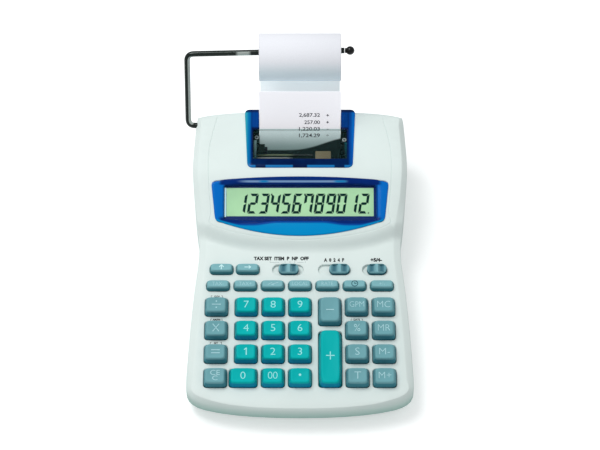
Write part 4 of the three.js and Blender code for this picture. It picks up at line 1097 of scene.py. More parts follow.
def upper_case_mesh():
    """A closed shell: walls that round over into a plate with holes, and the same one wall further in."""
    radius, width = edge_radius(OUTLINE), edge_width(OUTLINE)
    thin = np.maximum(radius - WALL, 0.2)
    outer, inner = [at_seam(OUTLINE)], [at_seam(inset(OUTLINE, WALL))]
    for step, (in_share, drop_share) in enumerate(EDGE_SHARES):
        angle = step / (len(EDGE_SHARES) - 1) * math.pi / 2
        outer.append(off_surface(inset(OUTLINE, width * in_share), -radius * drop_share))
        ring = inset(OUTLINE, WALL + thin * (1 - math.cos(angle)))
        inner.append(off_surface(ring, -WALL - thin * (1 - math.sin(angle))))

    rim = outer[-1][:, :2]
    cut_holes = case_holes()
    holes = [inset(hole, -HOLE_CHAMFER) for hole in cut_holes]
    lines = [GROOVE, offset_line(GROOVE, GROOVE_HALF_WIDTH), offset_line(GROOVE, -GROOVE_HALF_WIDTH)]
    points, triangles, numbers = triangulate([rim, *holes], lines, plate_points(rim, holes))
    starts = np.cumsum([len(rim), *map(len, holes)])[:-1]
    under = points.copy()
    for start, hole in zip(starts, cut_holes):
        for i, point in enumerate(hole):
            under[numbers[start + i]] = point

    vertices = flattened(outer[:-1] + inner[:-1])
    plate_start = len(vertices)
    vertices += flattened([off_surface(points, -groove_drop(points))])
    under_start = len(vertices)
    vertices += flattened([off_surface(under, -WALL)])
    faces = [tuple(t + plate_start) for t in triangles]
    faces += [tuple(t[::-1] + under_start) for t in triangles]
    count, last = len(OUTLINE), len(EDGE_SHARES)

    def at(side, ring, i):
        """A wall's vertex; the last ring is the rim of the plate."""
        i %= count
        if ring == last:
            return numbers[i] + (plate_start, under_start)[side]
        return (side * last + ring) * count + i

    for i in range(count):
        for ring in range(last):
            for side, turn in ((0, 1), (1, -1)):
                corners = ((ring, i), (ring, i + 1), (ring + 1, i + 1), (ring + 1, i))
                faces.append(tuple(at(side, *corner) for corner in corners)[::turn])
        faces.append((at(1, 0, i), at(1, 0, i + 1), at(0, 0, i + 1), at(0, 0, i)))

    slits = [capsule_hole(low, high, 2 * SLIT_HALF_DEPTH) for _, _, low, high in SLOTS.values()]
    for start, hole, slit in zip(starts, cut_holes, [None] * len(key_nodes()) + slits + [None]):
        steps = [(hole, HOLE_CHAMFER)]
        if slit is not None:
            steps += [(hole, TRAY_DEPTH), (slit, TRAY_DEPTH), (slit, WALL)]
        own = [numbers[start + i] for i in range(len(hole))]
        rings = [[i + plate_start for i in own]]
        for outline, depth in steps:
            rings.append(range(len(vertices), len(vertices) + len(hole)))
            vertices += flattened([off_surface(outline, -depth)])
        rings.append([i + under_start for i in own])
        for upper, lower in zip(rings, rings[1:]):
            faces += [(upper[i], upper[i - 1], lower[i - 1], lower[i]) for i in range(len(hole))]
    return vertices, faces


def cover_outline(grow, rear):
    widening = (COVER_REAR_HALF - COVER_FRONT_HALF) / (REAR_Y - COVER_FRONT_Y)
    far = COVER_FRONT_HALF + widening * (rear - COVER_FRONT_Y)
    near, front = COVER_FRONT_HALF, COVER_FRONT_Y
    corners = [(near, front), (far, rear), (-far, rear), (-near, front)]
    return inset(bowed_outline(corners, [0, 0, 0, 0], COVER_CORNER), -grow)


def build_upper_case():
    """The shell, less the cover's bed and the openings for the paper, the arm and the power socket."""
    piece = make("case_shell", upper_case_mesh(), CASE, "case")
    overrun = 6
    outline = cover_outline(CLEARANCE, REAR_Y + overrun)
    lid = raised(outline, plain, SHOULDER_Z + 2 * overrun)
    cut(piece, loft([off_surface(outline, -WALL - CLEARANCE), lid]))
    web_half = TAPE_WIDTH / 2 + WEB_SLOT_MARGIN
    web_low, web_high = WEB_SLOT_HEIGHT - WEB_SLOT_BELOW, WEB_SLOT_HEIGHT + WEB_SLOT_ABOVE
    cut(piece, block(-web_half, web_half, REAR_Y - overrun, REAR_Y + overrun, web_low, web_high))
    bore = WIRE_RADIUS + CLEARANCE
    stub_end = LEG_X + LEG_OFFSET + STUB_LENGTH + CLEARANCE
    cut(piece, loft(wheel([(LEG_X, bore), (stub_end, bore)], PIVOT, 32, 0.5)))
    low, high = box_of("dc_socket")
    socket = (low.x - CLEARANCE, high.x + CLEARANCE, high.y - overrun, REAR_Y + overrun)
    cut(piece, block(*socket, low.z - CLEARANCE, high.z + CLEARANCE))
    piece.data.validate()
    smooth(piece.data)
    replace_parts(piece, "upper_case")


# Keys
class Cap:
    """The shape of one key cap, in the deck's frame."""

    def __init__(self, node):
        low, high = deck_box(node)
        self.body = node + "_cap"
        self.flange_bottom = low[2]
        self.x, self.y = (low + high)[:2] / 2
        self.half_x, self.half_y = (high - low)[:2] / 2 - FLANGE_REACH
        self.height = high[2]
        self.small = self.half_y < 4
        side, front, rear = (0.9, 0.9, 0.9) if self.small else (1.4, 0.7, 1.5)
        self.dish = 0.3 if self.small else 0.7
        self.round = 0.9 if self.small else 1.1
        self.top_half_x = self.half_x - side
        self.top_half_y = self.half_y - (front + rear) / 2
        self.top_y = self.y + (front - rear) / 2
        self.dish_half_x, self.dish_half_y = self.top_half_x - self.round, self.top_half_y - self.round

    def top(self, x, y):
        """Height of the dished top."""
        power = 5
        across, up = abs((x - self.x) / self.dish_half_x), abs((y - self.top_y) / self.dish_half_y)
        return self.height - self.dish * (1 - min((across**power + up**power) ** (1 / power), 1) ** 2)

    def mesh(self):
        rings = []

        def ring(half_x, half_y, y, z, power=6.5):
            rings.append(raised(superellipse(half_x, half_y, power, self.x, y), on_deck, z))

        flange_top = self.flange_bottom + 1
        for z in (self.flange_bottom, flange_top):
            ring(self.half_x + FLANGE_REACH, self.half_y + FLANGE_REACH, self.y, z)
        for z in (flange_top + 0.01, 0):
            ring(self.half_x, self.half_y, self.y, z)
        shoulder = self.height - self.round
        for share in (0.35, 0.7, 1):
            bulge = share**1.6
            half_x = between(self.half_x, self.top_half_x, bulge)
            half_y = between(self.half_y, self.top_half_y, bulge)
            ring(half_x, half_y, between(self.y, self.top_y, bulge), shoulder * share)
        for step in range(1, 6):
            angle = step / 5 * math.pi / 2
            back = self.round * (1 - math.cos(angle))
            rise = self.round * math.sin(angle)
            ring(self.top_half_x - back, self.top_half_y - back, self.top_y, shoulder + rise, 6)
        for scale in (0.93, 0.8, 0.6, 0.35, 0.12):
            drop = self.dish * (1 - scale**2)
            ring(self.dish_half_x * scale, self.dish_half_y * scale, self.top_y, self.height - drop, 5)
        return loft(rings)


def frame_slot(node):
    return next(s["material_slot"] for s in frame["record"]["subparts"] if s["node"] == node)


def slot_of(key):
    return "teal_key" if frame_slot("key_" + key) == "teal_key" else "grey_key"


def build_keys():
    caps = {}
    for node in key_nodes():
        key = node.removeprefix("key_")
        cap = caps[key] = Cap(node)
        slot = slot_of(key)
        finish = TEAL_KEY if slot == "teal_key" else SMALL_KEY if cap.small else GREY_KEY
        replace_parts(make("cap_" + key, cap.mesh(), finish, cap.body, sharp=50), node)
    return caps


# Lettering: flat shapes about their own middle, whose z is 0 below and 1 on top
def text_outline(words, size, thicken=0.0, spacing=1.0, line=1.0, stretch=1.0):
    curve = bpy.data.curves.new("text", "FONT")
    curve.body = words
    curve.size = size
    curve.offset = thicken
    curve.space_character = spacing
    curve.space_line = line
    curve.align_x = "CENTER"
    curve.extrude = 0.5
    curve.resolution_u = 3
    piece = new_object("text", curve)
    work = bmesh.new()
    work.from_mesh(evaluated(piece))
    bmesh.ops.remove_doubles(work, verts=work.verts, dist=size * 1e-4)
    bmesh.ops.recalc_face_normals(work, faces=work.faces)
    vertices = np.array([tuple(v.co) for v in work.verts])
    faces = [tuple(v.index for v in f.verts) for f in work.faces]
    work.free()
    bpy.data.objects.remove(piece)
    middle = (vertices.min(0) + vertices.max(0)) / 2
    vertices[:, 0] = (vertices[:, 0] - middle[0]) * stretch
    vertices[:, 1] -= middle[1]
    vertices[:, 2] = vertices[:, 2] > 0
    return vertices, faces


def bars(strokes):
    """Straight strokes, each (x, y, width, height, turn)."""
    parts = []
    for x, y, width, height, turn in strokes:
        cosine, sine = math.cos(turn), math.sin(turn)
        corners = []
        for a, b in ((-1, -1), (1, -1), (1, 1), (-1, 1)):
            across, up = a * width / 2, b * height / 2
            corners.append((x + across * cosine - up * sine, y + across * sine + up * cosine))
        parts.append(prism(corners, plain, 0, 1))
    return join(parts)


def dot(x, y, radius):
    return prism(circle(radius, 16) + [x, y], plain, 0, 1)


def annulus(x, y, radius, width):
    sections = ((radius, 0), (radius, 1), (radius - width, 1), (radius - width, 0))
    return hoop([raised(circle(r, 28) + [x, y], plain, z) for r, z in sections])


def letter(name, shape, to_point, finish, body, x=0.0, y=0.0, sink=0.12, proud=0.04):
    """Puts a flat shape on a surface: to_point(x, y, height above the surface)."""
    vertices, faces = shape
    placed = [to_point(x + vx, y + vy, proud if vz > 0.5 else -sink) for vx, vy, vz in vertices]
    return make(name, (placed, faces), finish, body)


def legend_shapes():
    """Each key's marking and how far up the key it stands."""
    thin = 0.66
    diagonal = math.radians(52)
    shapes = {k: (text_outline(k, 7.6, -0.07, stretch=1.08), 0.1) for k in "023456789"}
    shapes["1"] = (bars([(0.35, 0, 0.8, 5.3, 0), (-0.35, 1.85, 1.9, 0.75, 0.65)]), 0.1)
    shapes["00"] = (text_outline("00", 7.6, -0.1, 0.92, stretch=0.98), 0.1)
    shapes["point"] = (dot(0, 0, 0.85), 0.5)
    shapes["divide"] = (join([bars([(0, 0, 6.2, thin, 0)]), dot(0, 2.3, 0.55), dot(0, -2.3, 0.55)]), 0.1)
    shapes["multiply"] = (bars([(0, 0, 7.0, thin, diagonal), (0, 0, 7.0, thin, -diagonal)]), 0.1)
    shapes["equals"] = (bars([(0, 1.1, 5.8, thin, 0), (0, -1.1, 5.8, thin, 0)]), 0.1)
    shapes["minus"] = (bars([(0, 0, 5.4, thin, 0)]), -0.3)
    shapes["plus"] = (bars([(0, 0, 5.8, thin, 0), (0, 0, thin, 5.8, 0)]), 0.6)
    words = {
        "margin": ("GPM", 6.1, 0.86), "memory_clear": ("MC", 7.0, 0.94), "memory_recall": ("MR", 7.0, 0.94),
        "memory_minus": ("M-", 7.0, 1.08), "memory_plus": ("M+", 7.0, 1.0), "percent": ("%", 7.6, 0.9),
        "subtotal": ("S", 7.8, 1.05), "total": ("T", 7.8, 1.05),
    }
    for k, (body, size, stretch) in words.items():
        shapes[k] = (text_outline(body, size, -0.03 if body == "%" else -0.08, stretch=stretch), 0.15)
    shapes["clear"] = (text_outline("CE\nC", 5.0, line=0.78, stretch=1.15), 0.1)
    small = {"tax_minus": "TAX-", "tax_plus": "TAX+", "local": "LOCAL", "rate": "RATE", "sign": "+/-"}
    for k, body in small.items():
        shapes[k] = (text_outline(body, 3.9, -0.02, stretch=0.9), 0)
    arrows = {
        "convert": [(-1.9, 0, 3.4, 0.4, 0.5), (1.7, 0.2, 4.6, 0.4, 0.32), (0, -0.9, 2.0, 0.4, 0)],
        "paper_feed": [(0, -0.1, 0.8, 3.4, 0), (-0.75, 0.9, 2.3, 0.75, 0.8), (0.75, 0.9, 2.3, 0.75, -0.8)],
        "backspace": [(0, 0, 4.4, 0.6, 0), (1.5, 0.5, 1.9, 0.55, -0.7), (1.5, -0.5, 1.9, 0.55, 0.7)],
    }
    for k, strokes in arrows.items():
        shapes[k] = (bars(strokes), 0)
    hands = bars([(0.0, 0.55, 0.45, 1.4, 0), (0.6, 0, 1.3, 0.45, 0)])
    shapes["clock"] = (join([annulus(0, 0, 2.3, 0.5), hands]), 0)
    return shapes


def build_legends(caps):
    special = {"backspace": LEGEND, "paper_feed": LEGEND, "clock": DARK_LEGEND}
    for key, (shape, rise) in legend_shapes().items():
        cap = caps[key]

        def on_top(x, y, z, cap=cap):
            return on_deck(x, y, cap.top(x, y) + z)

        slot = slot_of(key)
        usual = TEAL_LEGEND if slot == "teal_key" else FAINT_LEGEND if cap.small else GREY_LEGEND
        finish = special.get(key, usual)
        letter("legend_" + key, shape, on_top, finish, cap.body, cap.x, cap.top_y + rise)


def widened(shape, width):
    """A flat shape stretched to a width."""
    vertices, faces = shape
    vertices[:, 0] *= width / np.ptp(vertices[:, 0])
    return vertices, faces


def build_deck_marks(caps):
    def on_surface(x, y, z):
        px, py, _ = on_deck(x, y, 0)
        return (px, py, float(surface(px, py)) + z)

    def print_on_deck(name, shape, x, y, finish=BLACK_INK, proud=0.03):
        letter(name, shape, on_surface, finish, "case", x, y, 0.1, proud)

    for name, words, low_x, high_x, y in [
        ("mode", "TAX SET  ITEM  P  NP  OFF", -31.9, 6.0, -5.9),
        ("decimals", "A  0  2  4  F", 16.5, 30.4, -7.05),
        ("rounding", "+5/4-", 48.6, 56.6, -6.95),
    ]:
        shape = widened(text_outline(words, 3.5, 0.2), high_x - low_x)
        print_on_deck("label_" + name, shape, (low_x + high_x) / 2, y)
    ticks = [(-20.6, 0.2, 0.3, 0.9, 0), (-17.4, -0.25, 6.4, 0.25, 0)]
    ticks += [(x, 0.1, 0.3, 1.1, 0) for x in (-10.3, -6.9, -3.6, 3.6)] + [(0.3, -0.25, 4.2, 0.25, 0)]
    print_on_deck("label_ticks", bars(ticks), 0, -8.7, PALE_INK, 0.02)
    uprights = [(x, -0.2, 0.25, 1.5, 0) for x in (-3.9, 3.9)]
    brackets = bars(uprights + [(x, 0.45, 0.9, 0.25, 0) for x in (-3.5, 3.5)])
    for key, words in {"divide": "12/24", "multiply": "AM/PM", "equals": "SET", "percent": "DATE"}.items():
        cap = caps[key]
        shape = join([text_outline(words, 1.75, 0.06), brackets])
        print_on_deck("mark_" + key, shape, cap.x, cap.y + cap.half_y + 1.75)


# Switches
def build_switches():
    """Capsule knobs with two finger scallops and a rib between them, each on a stem through its slit."""
    for node, stem_shift in STEM_SHIFTS.items():
        low, high = deck_box(node)
        reach = FLANGE_REACH + CLEARANCE
        x, y = (low + high)[:2] / 2
        half_x, half_y = (high - low)[:2] / 2 - reach
        top = high[2]
        rings = []

        def ring(ring_half_x, ring_half_y, radius, ring_x, z):
            outline = rounded_rectangle(2 * ring_half_x, 2 * ring_half_y, radius, ring_x, y, 12)
            rings.append(raised(outline, on_deck, z))

        def capsule(grow, z):
            ring(half_x + grow, half_y + grow, half_y + grow - 0.01, x, z)

        capsule(reach, low[2])
        capsule(reach, low[2] + 0.9)
        for z in (low[2] + 0.91, -TRAY_DEPTH + 0.3):
            ring(STEM_HALF_WIDTH, STEM_HALF_DEPTH, 0.5, x + stem_shift, z)
        capsule(-0.1, -TRAY_DEPTH + 0.31)
        capsule(0, -TRAY_DEPTH + 0.5)
        capsule(0, top * 0.55)
        for step in range(1, 5):
            angle = step / 4 * math.pi / 2
            capsule(-1.1 * (1 - math.cos(angle)), top * 0.55 + top * 0.45 * math.sin(angle))
        body = node.replace("_switch", "_knob")
        piece = make("knob_" + node, loft(rings), KNOB, body, sharp=50)
        for side in (-1, 1):
            middle = [x + side * SCALLOP_X, top + SCALLOP_RADIUS - SCALLOP_DEPTH]
            hollow = circle(SCALLOP_RADIUS, 32) + middle
            ends = (half_y - 0.7, -half_y + 0.7)
            cut(piece, loft([[on_deck(px, y + end, pz) for px, pz in hollow] for end in ends]))
        piece.data.validate()
        smooth(piece.data, 40)
        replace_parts(piece, node)


# Display
def ring_wall(sections):
    """A closed frame whose section runs through the outlines in turn, each (points, height)."""
    return hoop([raised(outline, on_display, z) for outline, z in sections])


def refined(outline, steps):
    """A closed outline with each side cut into steps."""
    return np.vstack([np.linspace(a, b, steps + 1)[:-1] for a, b in zip(outline, np.roll(outline, -1, 0))])


def resample(outline, angles, centre):
    """The outline's points in the given directions from a centre, to join two outlines in rings."""
    away = outline - centre
    theta = np.arctan2(away[:, 1], away[:, 0]) % (2 * math.pi)
    order = np.argsort(theta)
    theta, points = theta[order], outline[order]
    theta = np.concatenate([theta[-1:] - 2 * math.pi, theta, theta[:1] + 2 * math.pi])
    points = np.vstack([points[-1:], points, points[:1]])
    return np.column_stack([np.interp(angles, theta, points[:, 0]), np.interp(angles, theta, points[:, 1])])


def build_display():
    """The bezel, the glass panel under it with its printed mask and a painted highlight strip on its left
    edge, the digits and the lens.
    """
    centre = np.array([0, LENS_CENTRE])
    corner = math.atan2(LENS_DEPTH / 2, LENS_HALF_WIDTH)
    corners = [corner, math.pi - corner, math.pi + corner, 2 * math.pi - corner, 2 * math.pi + corner]
    angles = np.concatenate([np.linspace(a, b, 37)[:-1] for a, b in zip(corners, corners[1:])])
    angles = np.sort(angles % (2 * math.pi))
    dense = refined(bezel_outline(), 5)

    def body(distance):
        return resample(inset(dense, distance), angles, centre)

    def lens(grow):
        size = (2 * (LENS_HALF_WIDTH + grow), LENS_DEPTH + 2 * grow)
        outline = rounded_rectangle(*size, 1.4 + grow, 0, LENS_CENTRE, 5)
        return resample(refined(outline, 11), angles, centre)

    under = -WALL - 1.2
    bezel = make("bezel", ring_wall([
        (body(0), under), (body(0), 0), (body(-0.55), 0.04), (body(-0.55), BEZEL_PROUD - 0.5),
        (body(-0.35), BEZEL_PROUD - 0.15), (body(0.1), BEZEL_PROUD), (body(1.5), BEZEL_PROUD - 0.05),
        (lens(1.6), BEZEL_PROUD - 0.35), (lens(1.1), BEZEL_PROUD - 0.55),
        (lens(CLEARANCE), -LENS_RECESS + 0.1), (lens(CLEARANCE), under),
    ]), BEZEL, "case", sharp=50)
    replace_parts(bezel, "display_bezel")

    lcd_top = -LENS_RECESS - LENS_THICKNESS - CLEARANCE
    glass = rounded_rectangle(2 * LENS_HALF_WIDTH, LENS_DEPTH, 1.2, 0, LENS_CENTRE)
    panel = make("lcd_panel", prism(glass, on_display, lcd_top - LCD_THICKNESS, lcd_top), LCD, "case")
    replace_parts(panel, "lcd_glass")
    hole = [(LCD_RIGHT, LCD_REAR), (LCD_LEFT, LCD_REAR), (LCD_LEFT, LCD_FRONT), (LCD_RIGHT, LCD_FRONT)]
    edge_x, reach = LENS_HALF_WIDTH + 0.25, LENS_DEPTH / 2 + 0.25
    low_y, high_y = LENS_CENTRE - reach, LENS_CENTRE + reach
    edge = [(edge_x, high_y), (-edge_x, high_y), (-edge_x, low_y), (edge_x, low_y)]
    low, high = lcd_top - 0.02, lcd_top + 0.12
    make("lcd_mask", ring_wall([(edge, low), (edge, high), (hole, high), (hole, low)]), MASK, "case")
    # A pale strip along the panel's left edge: a painted highlight
    left, right = -LENS_HALF_WIDTH + 0.1, LCD_LEFT - 0.1
    light = [(left, LCD_FRONT - 0.6), (right, LCD_FRONT - 0.6), (right, LCD_REAR), (left, LCD_REAR)]
    make("lcd_edge_highlight", prism(light, on_display, lcd_top + 0.1, lcd_top + 0.6), LCD_EDGE_HIGHLIGHT, "case")
    build_digits(lcd_top)
    paint("display_window", LENS)


# The segments of the figures 0 to 9
SEGMENTS = ["abcdef", "bc", "abged", "abgcd", "fgbc", "afgcd", "afgedc", "fabc", "abcdefg", "abcfgd"]


def build_digits(lcd_top):
    """Slanted seven-segment digits with their thousands marks and the point."""
    height, stroke, gap = DIGIT_HEIGHT, DIGIT_STROKE, 0.02
    half, middle = DIGIT_WIDTH / 2, height / 2
    corner_cut = 0.45
    end_half, inner = half - corner_cut, half - stroke
    low, high, tip = middle - stroke / 2, middle + stroke / 2, half - stroke / 2 - gap
    inner_top = height - stroke
    top = [(end_half, height), (-end_half, height), (-inner + gap, inner_top), (inner - gap, inner_top)]
    bar = [(-tip, middle), (-inner, low), (inner, low), (tip, middle), (inner, high), (-inner, high)]
    side = [(half, middle + gap), (half, height - corner_cut), (inner, inner_top - gap), (inner, high + gap)]
    parts = []

    def polygon(points, x):
        slanted = [(x + px + (py - middle) * DIGIT_LEAN, DIGIT_BASE + py) for px, py in points]
        parts.append(prism(slanted, plain, 0, 1))

    def mirrored(points, across=1, down=1):
        turned = [(px * across, middle + (py - middle) * down) for px, py in points]
        return turned if across * down > 0 else turned[::-1]

    shapes = {
        "a": top, "b": side, "c": mirrored(side, down=-1), "d": mirrored(top, down=-1),
        "e": mirrored(side, across=-1, down=-1), "f": mirrored(side, across=-1), "g": bar,
    }
    mark = [(0.75, height - 1.5), (1.3, height - 1.5), (1.6, height), (0.75, height)]
    point = [(0.5, 0), (1.4, 0), (1.4, 0.85), (0.5, 0.85)]
    for i, figure in enumerate("123456789012"):
        x = LAST_DIGIT_X - (11 - i) * DIGIT_PITCH
        for segment in SEGMENTS[int(figure)]:
            polygon(shapes[segment], x)
        if i in (2, 5, 8):
            polygon([(half + px, py) for px, py in mark], x)
    polygon([(half + px, py) for px, py in point], LAST_DIGIT_X)

    def on_lcd(x, y, z):
        return on_display(x, y, lcd_top + z)

    letter("lcd_digits", join(parts), on_lcd, SEGMENT, "case", sink=0.1, proud=0.05)


def paint(node, finish, bevel=0.0):
    """Gives a CAD node its material and, where asked, softened edges."""
    piece = frame["nodes"][node]
    piece.data.materials.clear()
    piece.data.materials.append(finish.material)
    if bevel:
        piece.modifiers.new("weld", "WELD").merge_threshold = 0.00001
        soften = piece.modifiers.new("soften", "BEVEL")
        soften.width = bevel * MM
        soften.segments = 2
        soften.limit_method = "ANGLE"
        soften.angle_limit = math.radians(40)
    smooth(piece.data)


# Printer
def cubic(a, b, c, d, steps):
    t = np.linspace(0, 1, steps + 1)[:, None]
    return (1 - t) ** 3 * a + 3 * (1 - t) ** 2 * t * b + 3 * (1 - t) * t**2 * c + t**3 * d


def tape_paths():
    """The printed strip with its turn round the feed roller, and the web from the slot to the roll."""
    to_slot = WEB_SLOT - PLATEN_CENTRE
    leave = math.atan2(to_slot[1], to_slot[0]) - math.acos(WRAP_RADIUS / math.hypot(*to_slot)) + 2 * math.pi
    enter = math.atan2(-TOWARDS_PLATEN[1], -TOWARDS_PLATEN[0]) % (2 * math.pi)
    angles = np.linspace(enter, leave, 25)
    wrap = PLATEN_CENTRE + WRAP_RADIUS * np.column_stack([np.cos(angles), np.sin(angles)])
    strip = np.linspace(TEAR_POINT + STRIP_UP * STRIP_REACH, wrap[0], 41)[:-1]
    inner_web = np.linspace(wrap[-1], WEB_SLOT, 8)[1:]
    end = ROLL_CENTRE + np.array([ROLL_RADIUS + STRIP_GAP, 0])
    climb = end[1] - WEB_SLOT[1]
    onwards = towards(WEB_SLOT, wrap[-1], -climb / 3)
    web = cubic(WEB_SLOT, onwards, end - np.array([0, climb * 2 / 3]), end, 48)
    return np.vstack([strip, wrap, inner_web]), web


def ribbon(path, columns=12, edge=None):
    """A thin closed ribbon along a path in the side view; edge(x) shifts its start along itself."""
    along = directions(path)
    across = np.column_stack([along[:, 1], -along[:, 0]]) * TAPE_THICKNESS / 2
    xs = np.linspace(-TAPE_WIDTH / 2, TAPE_WIDTH / 2, columns + 1)
    vertices, faces = [], []
    for side in (1, -1):
        for i, point in enumerate(path):
            for x in xs:
                shift = along[i] * edge(x) if edge and i == 0 else 0
                vertices.append((x, *(point + across[i] * side + shift)))
    rows = len(path)

    def quad(corners, turned):
        """A face through four (side, row, column)."""
        face = tuple((side * rows + row) * (columns + 1) + column for side, row, column in corners)
        faces.append(face[::-1] if turned else face)

    for row in range(rows - 1):
        for column in range(columns):
            for side in (0, 1):
                flat = [(side, row, column), (side, row, column + 1)]
                quad(flat + [(side, row + 1, column + 1), (side, row + 1, column)], side == 1)
        for column in (0, columns):
            edge_corners = [(0, row, column), (0, row + 1, column), (1, row + 1, column), (1, row, column)]
            quad(edge_corners, column > 0)
    for row in (0, rows - 1):
        for column in range(columns):
            quad([(0, row, column), (0, row, column + 1), (1, row, column + 1), (1, row, column)], row == 0)
    return vertices, faces


def build_tape():
    strip, web = tape_paths()
    teeth = 76

    def torn(x):
        phase = (x / TAPE_WIDTH + 0.5) * teeth
        return 0.45 * abs(phase % 2 - 1)

    piece = make("tape_strip", ribbon(strip, teeth, torn), STRIP_PAPER, "case", sharp=60)
    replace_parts(piece, "paper_tape")
    web_piece = make("tape_web", ribbon(web), WEB_PAPER, None, sharp=60)
    place(0, *web[2])
    place(0, *web[-4])
    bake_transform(web_piece)
    build_print()


def build_print():
    """Four printed lines, right-aligned, each with its sign in a column of its own."""
    lines = [("2,687.32", "+", 11.8), ("257.00", "+", 5.7), ("1,220.03", "-", -0.4), ("1,724.29", "*", -6.2)]

    def on_strip(x, s, z):
        return (x, *(TEAR_POINT + STRIP_UP * s - TOWARDS_PLATEN * (TAPE_THICKNESS / 2 + z)))

    for i, (figures, sign, s) in enumerate(lines):
        text = widened(text_outline(figures, 4.5, 0.05, 0.95), 1.84 * len(figures))
        text[0][:, 0] += 14 - text[0][:, 0].max()
        mark = text_outline(sign, 4.0, 0.1)
        mark[0][:, 0] += 19.4
        shape = join([text, mark])
        letter(f"printed_line_{i + 1}", shape, on_strip, PRINT, "case", 0, s, 0.1, 0.02)


def build_roll():
    """The wound roll: its layers step in and out a little at the sides, round a cardboard core."""
    half = TAPE_WIDTH / 2
    core = CORE_RADIUS + CORE_WALL
    radii = np.linspace(core, ROLL_RADIUS - 0.25, 26)
    rounding = [(half - 0.3, ROLL_RADIUS), (half - 0.12, ROLL_RADIUS - 0.08)]
    profile = [(-half + 0.2, core)]
    profile += [(-half + random.uniform(0, LAYER_SHIFT), r) for r in radii[1:]]
    profile += [(-x, r) for x, r in rounding[::-1]] + rounding
    profile += [(half - random.uniform(0, LAYER_SHIFT), r) for r in radii[:0:-1]]
    profile += [(half - 0.2, core)]
    sides = 72
    kinds = []
    for (_, first), (_, second) in zip(profile, profile[1:] + profile[:1]):
        kinds += [0 if abs(first - second) < 0.01 else 1] * sides
    skin = hoop(wheel(profile, ROLL_CENTRE, sides))
    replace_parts(make("roll_paper", skin, [PAPER, ROLL_SIDE], "roll", kinds, sharp=60), "paper_roll")
    end = half - 0.6
    tube = [(-end, core), (end, core), (end, CORE_RADIUS), (-end, CORE_RADIUS)]
    make("roll_core", hoop(wheel(tube, ROLL_CENTRE, 48)), CARDBOARD, "roll")


def tube_along(points, radius):
    """A round wire through points that lie in the arm's plane."""
    normal = np.array([0, -ARM_DIRECTION[1], ARM_DIRECTION[0]])
    rings = []
    for point, direction in zip(points, directions(points)):
        second = np.cross(direction, normal)
        rings.append([tuple(point + normal * a + second * b) for a, b in circle(radius, 24)])
    return loft(rings)


def build_arm():
    """The bent wire that holds the roll, and the ball on its end."""
    corners = [
        np.array([LEG_X + LEG_OFFSET + STUB_LENGTH, *PIVOT]),
        np.array([LEG_X, *PIVOT]),
        np.array([LEG_X, *(ROD_POINT - ARM_DIRECTION * ROD_RISE / 2)]),
        np.array([ROD_END_X, *(ROD_POINT + ARM_DIRECTION * ROD_RISE / 2)]),
    ]

    def bend(before, corner, after):
        return bezier(towards(corner, before, BEND_RADIUS), corner, towards(corner, after, BEND_RADIUS), 12)

    def straight(a, b, steps):
        return np.linspace(a, b, steps + 1)[1:-1]

    first, second = bend(*corners[:3]), bend(*corners[1:])
    points = np.vstack([
        corners[:1], straight(corners[0], first[0], 3), first, straight(first[-1], second[0], 8), second,
        straight(second[-1], corners[3], 12), corners[3:],
    ])
    wire = make("arm_wire", tube_along(points, WIRE_RADIUS), CHROME, "arm", sharp=50)
    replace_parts(wire, "roll_holder_arm")

    low, high = box_of("arm_knob")
    neck_angle = math.asin(NECK_RADIUS / KNOB_RADIUS)
    ball = low.x + NECK_LENGTH + KNOB_RADIUS * math.cos(neck_angle)
    profile = [(low.x, NECK_RADIUS - 0.3), (low.x + 0.25, NECK_RADIUS), (low.x + 0.8, NECK_RADIUS)]
    for angle in np.linspace(neck_angle, math.pi * 0.985, 20)[1:]:
        profile.append((ball - KNOB_RADIUS * math.cos(angle), KNOB_RADIUS * math.sin(angle)))
    rings = wheel(profile, np.array((low + high) / 2)[1:], 32)
    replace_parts(make("ball_knob", loft(rings), BLACK, "arm", sharp=50), "arm_knob")


def cover_loop():
    """The cover's edge in plan: right round the outside, in at the rear, and round the window."""
    rear = REAR_Y - COVER_REAR_GAP
    outline = cover_outline(-0.05, rear)
    start = min(range(len(outline)), key=lambda i: (round(abs(outline[i][0]), 3), outline[i][1]))
    ordered = np.roll(outline, -start, 0)
    last = max(i for i, p in enumerate(ordered) if p[0] > NOTCH_HALF)
    right = [tuple(p) for p in ordered[: last + 1]]
    right += [(NOTCH_HALF, rear), (NOTCH_HALF, TEAR_Y)]
    right += [(WINDOW_HALF, TEAR_Y - 0.6), (WINDOW_HALF, WINDOW_FRONT_Y)]
    loop = np.array(right + [(-x, y) for x, y in right[::-1]])
    points = []
    for a, b in zip(loop, np.roll(loop, -1, 0)):
        steps = max(int(math.dist(a, b) / 2.4), 1)
        for point in np.linspace(a, b, steps + 1)[:-1]:
            if not points or math.dist(point, points[-1]) > 0.05:
                points.append(point)
    if math.dist(points[0], points[-1]) < 0.05:
        points.pop()
    return np.array(points)


def build_cover():
    """The cover: a frame that follows the top of the hood, with arms on both sides of the paper."""
    loop = cover_loop()
    count = len(loop)
    proud = COVER_PROUD
    section = [(0, -WALL), (0, 0), (0.45, 0.04), (0.45, proud - 0.45), (0.3, proud - 0.13), (-0.05, proud)]
    last = len(section) - 1
    _, triangles, numbers = triangulate([loop])
    given = {number: original for original, number in numbers.items()}
    faces = walls(count, zip(range(last), range(1, last + 1)))
    for triangle in triangles:
        corners = tuple(given[i] for i in triangle)
        faces.append(corners[::-1])
        faces.append(tuple(last * count + i for i in corners))
    vertices = flattened(off_surface(inset(loop, -grow), rise) for grow, rise in section)
    piece = make("cover_frame", (vertices, faces), COVER, "cover", sharp=50)
    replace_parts(piece, "printer_cover")
    paint("tear_window", WINDOW)


